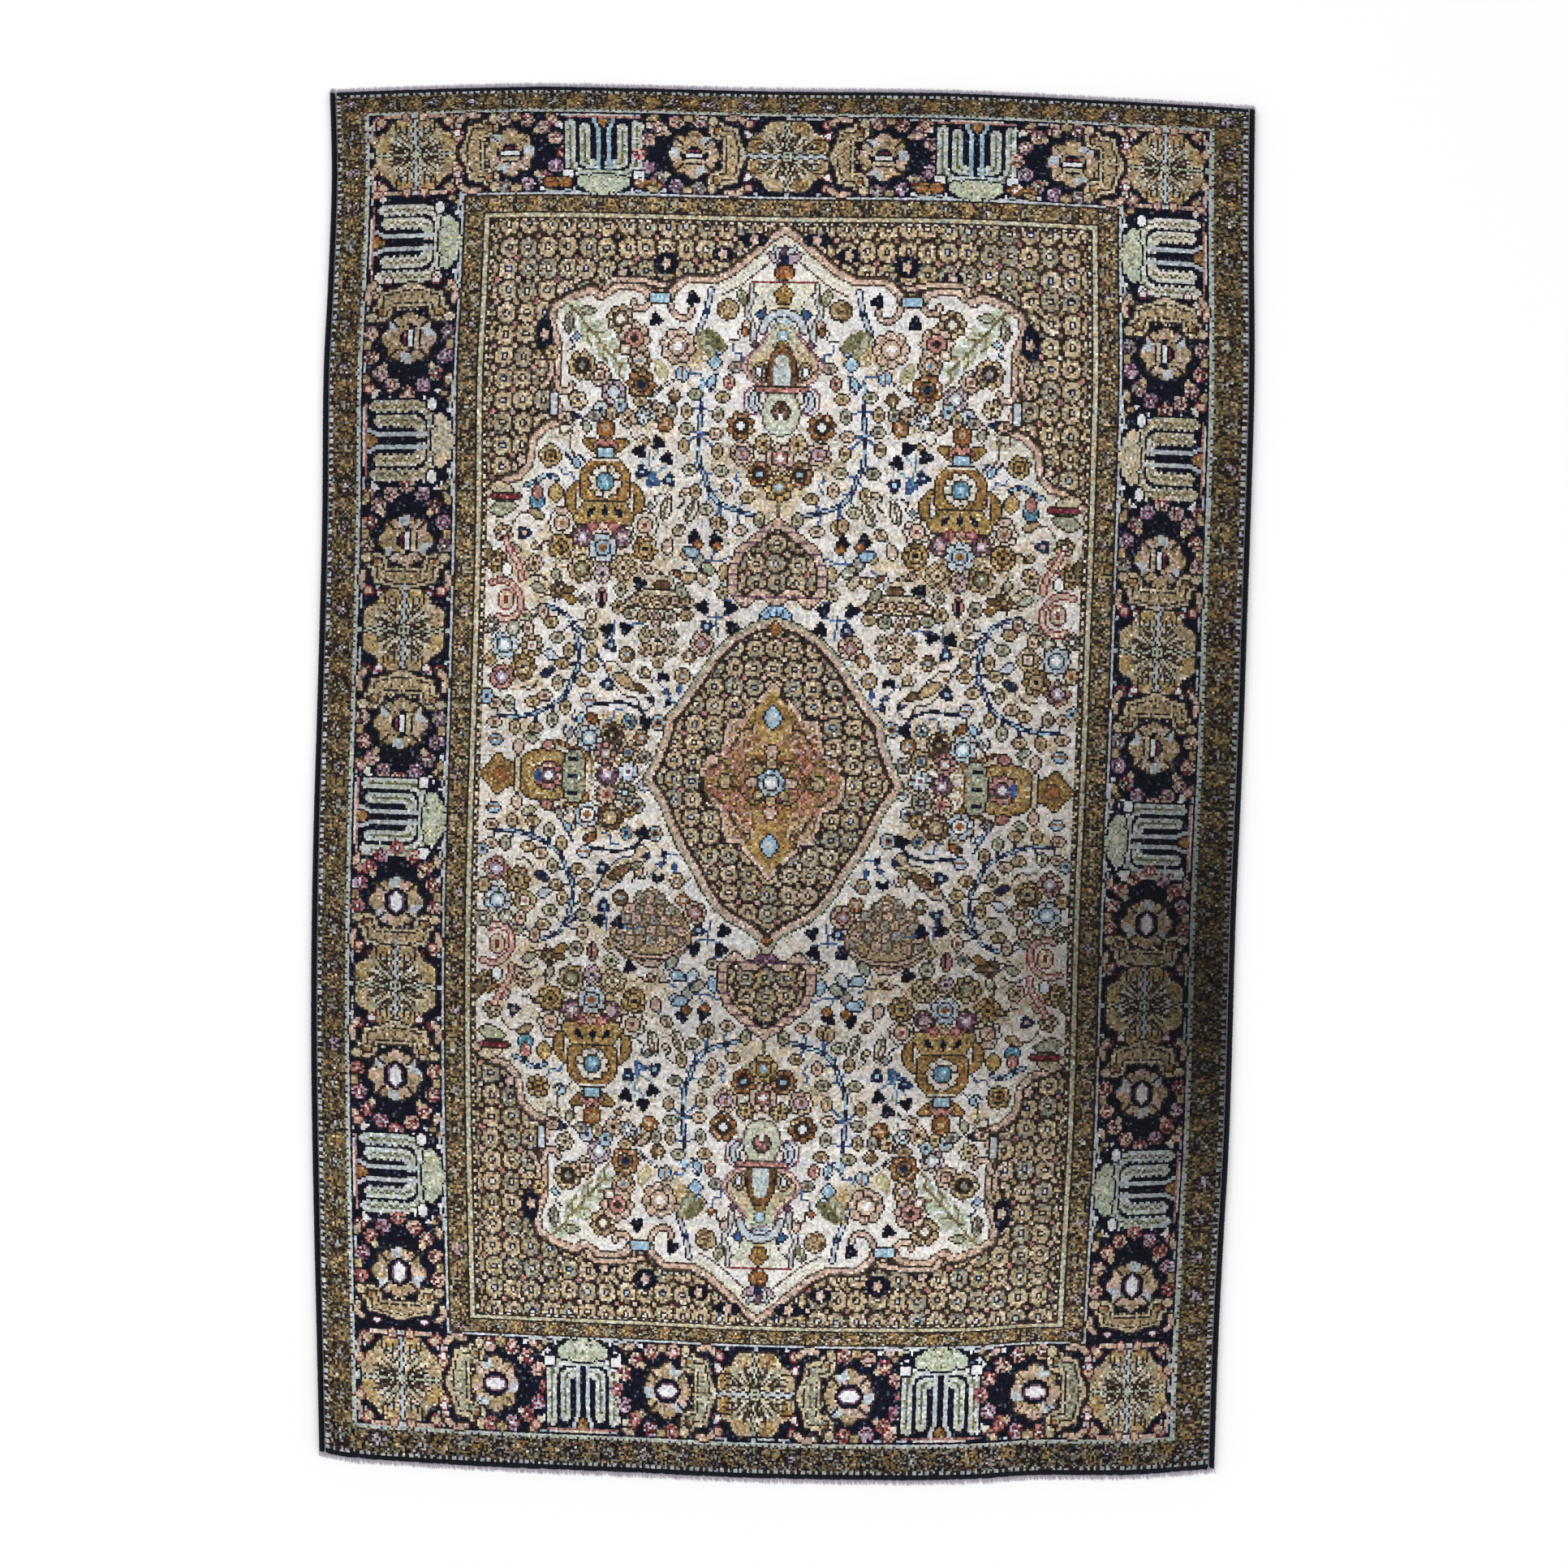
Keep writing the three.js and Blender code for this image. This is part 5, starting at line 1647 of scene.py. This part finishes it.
class RUG_OT_knot_pile(bpy.types.Operator):
    """Knots the pattern and clips it: the pile in four lengthwise strips"""

    bl_idname = "rug.knot_pile"
    bl_label = "Knot the pile"

    def execute(self, context):
        s = settings()
        chart = rug_chart(s.seed)
        colors = knot_colors(chart, palette(), s.speckle, s.seed)
        corners = knot_grid()
        rng = np.random.default_rng(s.seed + 11)
        slip = rng.uniform(-1, 1, corners.shape) * s.knot_slip * 1.4 * MM
        slip[[0, -1], :, :] = 0
        slip[:, [0, -1], :] = 0
        corners[...] += slip
        heights = PILE_TOP - s.clip * rng.random(corners.shape[:2])
        heights[[0, -1], :] = heights[:, [0, -1]] = PILE_EDGE
        material = knot_material("silk_pile_knots", 0.6, 0.015, 0.6)
        ends = np.linspace(0, COLUMNS, PILE_STRIPS + 1).round().astype(int)
        for number, (a, b) in enumerate(zip(ends, ends[1:]), 1):
            mesh = slab(f"pile_strip_{number}", corners[:, a:b + 1], heights[:, a:b + 1], FOUNDATION_TOP,
                        colors[:, a:b], (0.3, 0.27, 0.22), 2)
            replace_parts(new_piece(f"pile_strip_{number}", mesh, material), "rug_body")
        return {"FINISHED"}


class RUG_OT_weave_foundation(bpy.types.Operator):
    """Weaves the foundation, which shows the knots of the pattern on its underside"""

    bl_idname = "rug.weave_foundation"
    bl_label = "Weave the foundation"

    def execute(self, context):
        s = settings()
        chart = rug_chart(s.seed)[::2, ::2]
        # The underside takes the knot colours with the same painted nap shade and light, the painted glints and
        # gaps at 0.6 of their strength, all at 0.9 of the brightness
        colors = knot_colors(chart, palette(), s.speckle * 0.6, s.seed + 5) * 0.9
        corners = knot_grid()[::2, ::2].copy()
        y = corners[:, :, 1] / MM
        corners[:, 0, 0] = (read_edge(LEFT_EDGE, y[:, 0]) + CLOTH_SIDE) * MM
        corners[:, -1, 0] = (read_edge(RIGHT_EDGE, y[:, -1]) - CLOTH_SIDE) * MM
        above, below = corners[:1].copy(), corners[-1:].copy()
        above[..., 1] = (read_edge(TOP_EDGE, above[..., 0] / MM) - CLOTH_TOP) * MM
        below[..., 1] = (read_edge(BOTTOM_EDGE, below[..., 0] / MM) + CLOTH_BOTTOM) * MM
        corners = np.concatenate([above, corners, below])
        navy = np.tile(linear(s.binding_color), (1, colors.shape[1], 1))
        colors = np.concatenate([navy, colors, navy])
        mesh = slab("foundation", corners, np.zeros(corners.shape[:2]), FOUNDATION_TOP, colors,
                    linear(s.binding_color), 1)
        material = knot_material("foundation_back", 0.7, 0.1, 0.8)
        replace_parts(new_piece("foundation", mesh, material), "rug_body")
        return {"FINISHED"}


class RUG_OT_weave_end_bands(bpy.types.Operator):
    """Weaves the plain navy band at each end, over the foundation"""

    bl_idname = "rug.weave_end_bands"
    bl_label = "Weave the end bands"

    def execute(self, context):
        s = settings()
        rng = np.random.default_rng(s.seed + 21)
        for name, table, outer, inner, sign, lip in (
                ("end_band_top", TOP_EDGE, CLOTH_TOP, TOP_STRIPES[0], -1, 0.2),
                ("end_band_bottom", BOTTOM_EDGE, CLOTH_BOTTOM, BOTTOM_STRIPES[0], 1, 0.7)):
            low, high = knot_grid()[0 if sign < 0 else -1, [0, -1], 0] / MM
            x = np.linspace(low + 0.1, high - 0.1, BAND_STEPS)
            edge = read_edge(table, x)
            depth = np.linspace(outer + 0.1 - lip, inner + 0.25, BAND_PICKS)
            rows = np.array([edge + sign * d for d in depth])
            rows[0] += sign * np.abs(np.interp(x, np.linspace(low, high, 300), rng.normal(0, 0.3, 300)))
            rows[0] -= sign * lip * (0.1 + 0.5 * np.interp(x, np.linspace(low, high, 24), rng.random(24)))
            if sign > 0:
                rows = rows[::-1]
            corners = np.stack([np.tile(x, (BAND_PICKS, 1)), rows], -1) * MM
            i, j = np.mgrid[0:BAND_PICKS, 0:BAND_STEPS]
            heights = WEB_TOP - 0.1 * MM + 0.28 * MM * ((i + j) % 2) + 0.1 * MM * rng.random(i.shape)
            shade = rng.uniform(0.6, 1.5, (BAND_PICKS - 1, BAND_STEPS - 1, 1)) * linear(s.binding_color)
            mesh = slab(name, corners, heights, FOUNDATION_TOP, shade, linear(s.binding_color), 1)
            for face in mesh.polygons:
                face.use_smooth = True
            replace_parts(new_piece(name, mesh, binding_yarn()), "rug_body")
        return {"FINISHED"}


class RUG_OT_overcast_sides(bpy.types.Operator):
    """Winds the selvedge cord along each side"""

    bl_idname = "rug.overcast_sides"
    bl_label = "Overcast the sides"

    def execute(self, context):
        s = settings()
        tree = overcast_tree()
        sides = (("selvedge_left", LEFT_EDGE, 1), ("selvedge_right", RIGHT_EDGE, -1))
        for number, (name, table, sign) in enumerate(sides):
            low, high = (v.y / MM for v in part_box(name))
            y = np.linspace(low + 0.6, high - 0.6, 90)
            x = read_edge(table, y) + sign * SELVEDGE / 2
            path = edge_path(name + "_path", np.stack([x * MM, y * MM, np.full(len(y), CORD_HEIGHT / 2 * MM)], -1))
            piece = grown(name + "_cord", path, tree, {
                "Pitch": s.wrap_pitch, "Width": SELVEDGE * MM, "Height": CORD_HEIGHT * MM, "Yarn": s.wrap_yarn,
                "Seed": s.seed + number, "Material": binding_yarn()}, binding_yarn())
            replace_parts(piece, name)
        return {"FINISHED"}


class RUG_OT_leave_fringes(bpy.types.Operator):
    """Leaves the warp ends at both ends of the rug"""

    bl_idname = "rug.leave_fringes"
    bl_label = "Leave the fringes"

    def execute(self, context):
        s = settings()
        tree = fringe_tree()
        material = yarn_material("warp_yarn", s.fringe_color, 0.75, 1600.0, (1, 0.4, 1), 0.5, 0.1)
        ends = (("fringe_top", TOP_EDGE, FRINGE_TOP, 1), ("fringe_bottom", BOTTOM_EDGE, FRINGE_BOTTOM, -1))
        for number, (name, table, length, sign) in enumerate(ends):
            low, high = (v.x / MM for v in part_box(name))
            x = np.linspace(low + 0.5, high - 0.5, 80)
            y = read_edge(table, x) - sign * length
            path = edge_path(name + "_path", np.stack([x * MM, y * MM, np.full(len(x), 0.5 * MM)], -1))
            piece = grown(name + "_yarns", path, tree, {
                "Count": s.fringe_yarns, "Length": length * MM, "Yarn": s.fringe_yarn, "Outward": float(sign),
                "Seed": s.seed + 3 + number, "Material": material}, material)
            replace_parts(piece, name)
        return {"FINISHED"}


class RUG_OT_set_stage(bpy.types.Operator):
    """Sets the pale floor, the soft light and the camera straight above"""

    bl_idname = "rug.set_stage"
    bl_label = "Set the stage"

    def execute(self, context):
        scene = context.scene
        s = settings()
        floor_mesh = bpy.data.meshes.new("floor")
        floor_mesh.from_pydata([(-4, -4, 0), (4, -4, 0), (4, 4, 0), (-4, 4, 0)], [], [(0, 1, 2, 3)])
        floor = bpy.data.objects.new("floor", floor_mesh)
        floor.location = (0, 0, -0.0006)
        scene.collection.objects.link(floor)
        material, n, shader = new_material("pale_floor")
        n.fill(shader, {"Base Color": (*linear(s.floor_color), 1), "Roughness": 0.9, "Specular IOR Level": 0.0})
        floor.data.materials.append(material)
        scene.world = bpy.data.worlds.new("soft_studio")
        scene.world.use_nodes = True
        back = scene.world.node_tree.nodes["Background"]
        back.inputs["Color"].default_value = (1, 1, 1, 1)
        back.inputs["Strength"].default_value = 0.75
        for name, place, power in (("softbox_left", (-1.6, 1.0, 2.2), 22.0),
                                   ("softbox_right", (1.5, -0.9, 2.4), 15.0)):
            light = bpy.data.lights.new(name, "AREA")
            light.shape, light.size, light.energy = "SQUARE", 1.8, power
            lamp = bpy.data.objects.new(name, light)
            lamp.location = place
            direction = -np.array(place)
            lamp.rotation_euler = (math.atan2(math.hypot(direction[0], direction[1]), -direction[2]), 0,
                                   math.atan2(direction[1], direction[0]) - math.pi / 2)
            scene.collection.objects.link(lamp)
        camera = bpy.data.cameras.new("camera")
        camera.sensor_width = 36
        distance = 2.6
        camera.lens = camera.sensor_width * distance / PHOTO_WIDTH
        camera.clip_start, camera.clip_end = 0.1, 20
        eye = bpy.data.objects.new("camera", camera)
        eye.location = (0.0005, 0, distance + 0.005)
        scene.collection.objects.link(eye)
        scene.camera = eye
        scene.view_settings.view_transform = "Standard"
        return {"FINISHED"}


class RUG_PT_panel(bpy.types.Panel):
    bl_label = "Silk Rug"
    bl_idname = "RUG_PT_panel"
    bl_space_type = "VIEW_3D"
    bl_region_type = "UI"
    bl_category = "Silk Rug"

    def draw(self, context):
        for operator in OPERATORS:
            self.layout.operator(operator.bl_idname)
        for group in (context.scene.silk_rug, context.scene.silk_rug_inks):
            box = self.layout.box()
            for key in type(group).__annotations__:
                box.prop(group, key)


OPERATORS = (RUG_OT_knot_pile, RUG_OT_weave_foundation, RUG_OT_weave_end_bands, RUG_OT_overcast_sides,
             RUG_OT_leave_fringes, RUG_OT_set_stage)
CLASSES = (RugInks, RugSettings, *OPERATORS, RUG_PT_panel)


def register():
    for item in CLASSES:
        bpy.utils.register_class(item)
    bpy.types.Scene.silk_rug = bpy.props.PointerProperty(type=RugSettings)
    bpy.types.Scene.silk_rug_inks = bpy.props.PointerProperty(type=RugInks)


def unregister():
    del bpy.types.Scene.silk_rug_inks
    del bpy.types.Scene.silk_rug
    for item in reversed(CLASSES):
        bpy.utils.unregister_class(item)


def main():
    register()
    bpy.ops.rug.knot_pile()
    bpy.ops.rug.weave_foundation()
    bpy.ops.rug.weave_end_bands()
    bpy.ops.rug.overcast_sides()
    bpy.ops.rug.leave_fringes()
    bpy.ops.rug.set_stage()


if __name__ == "__main__":
    main()
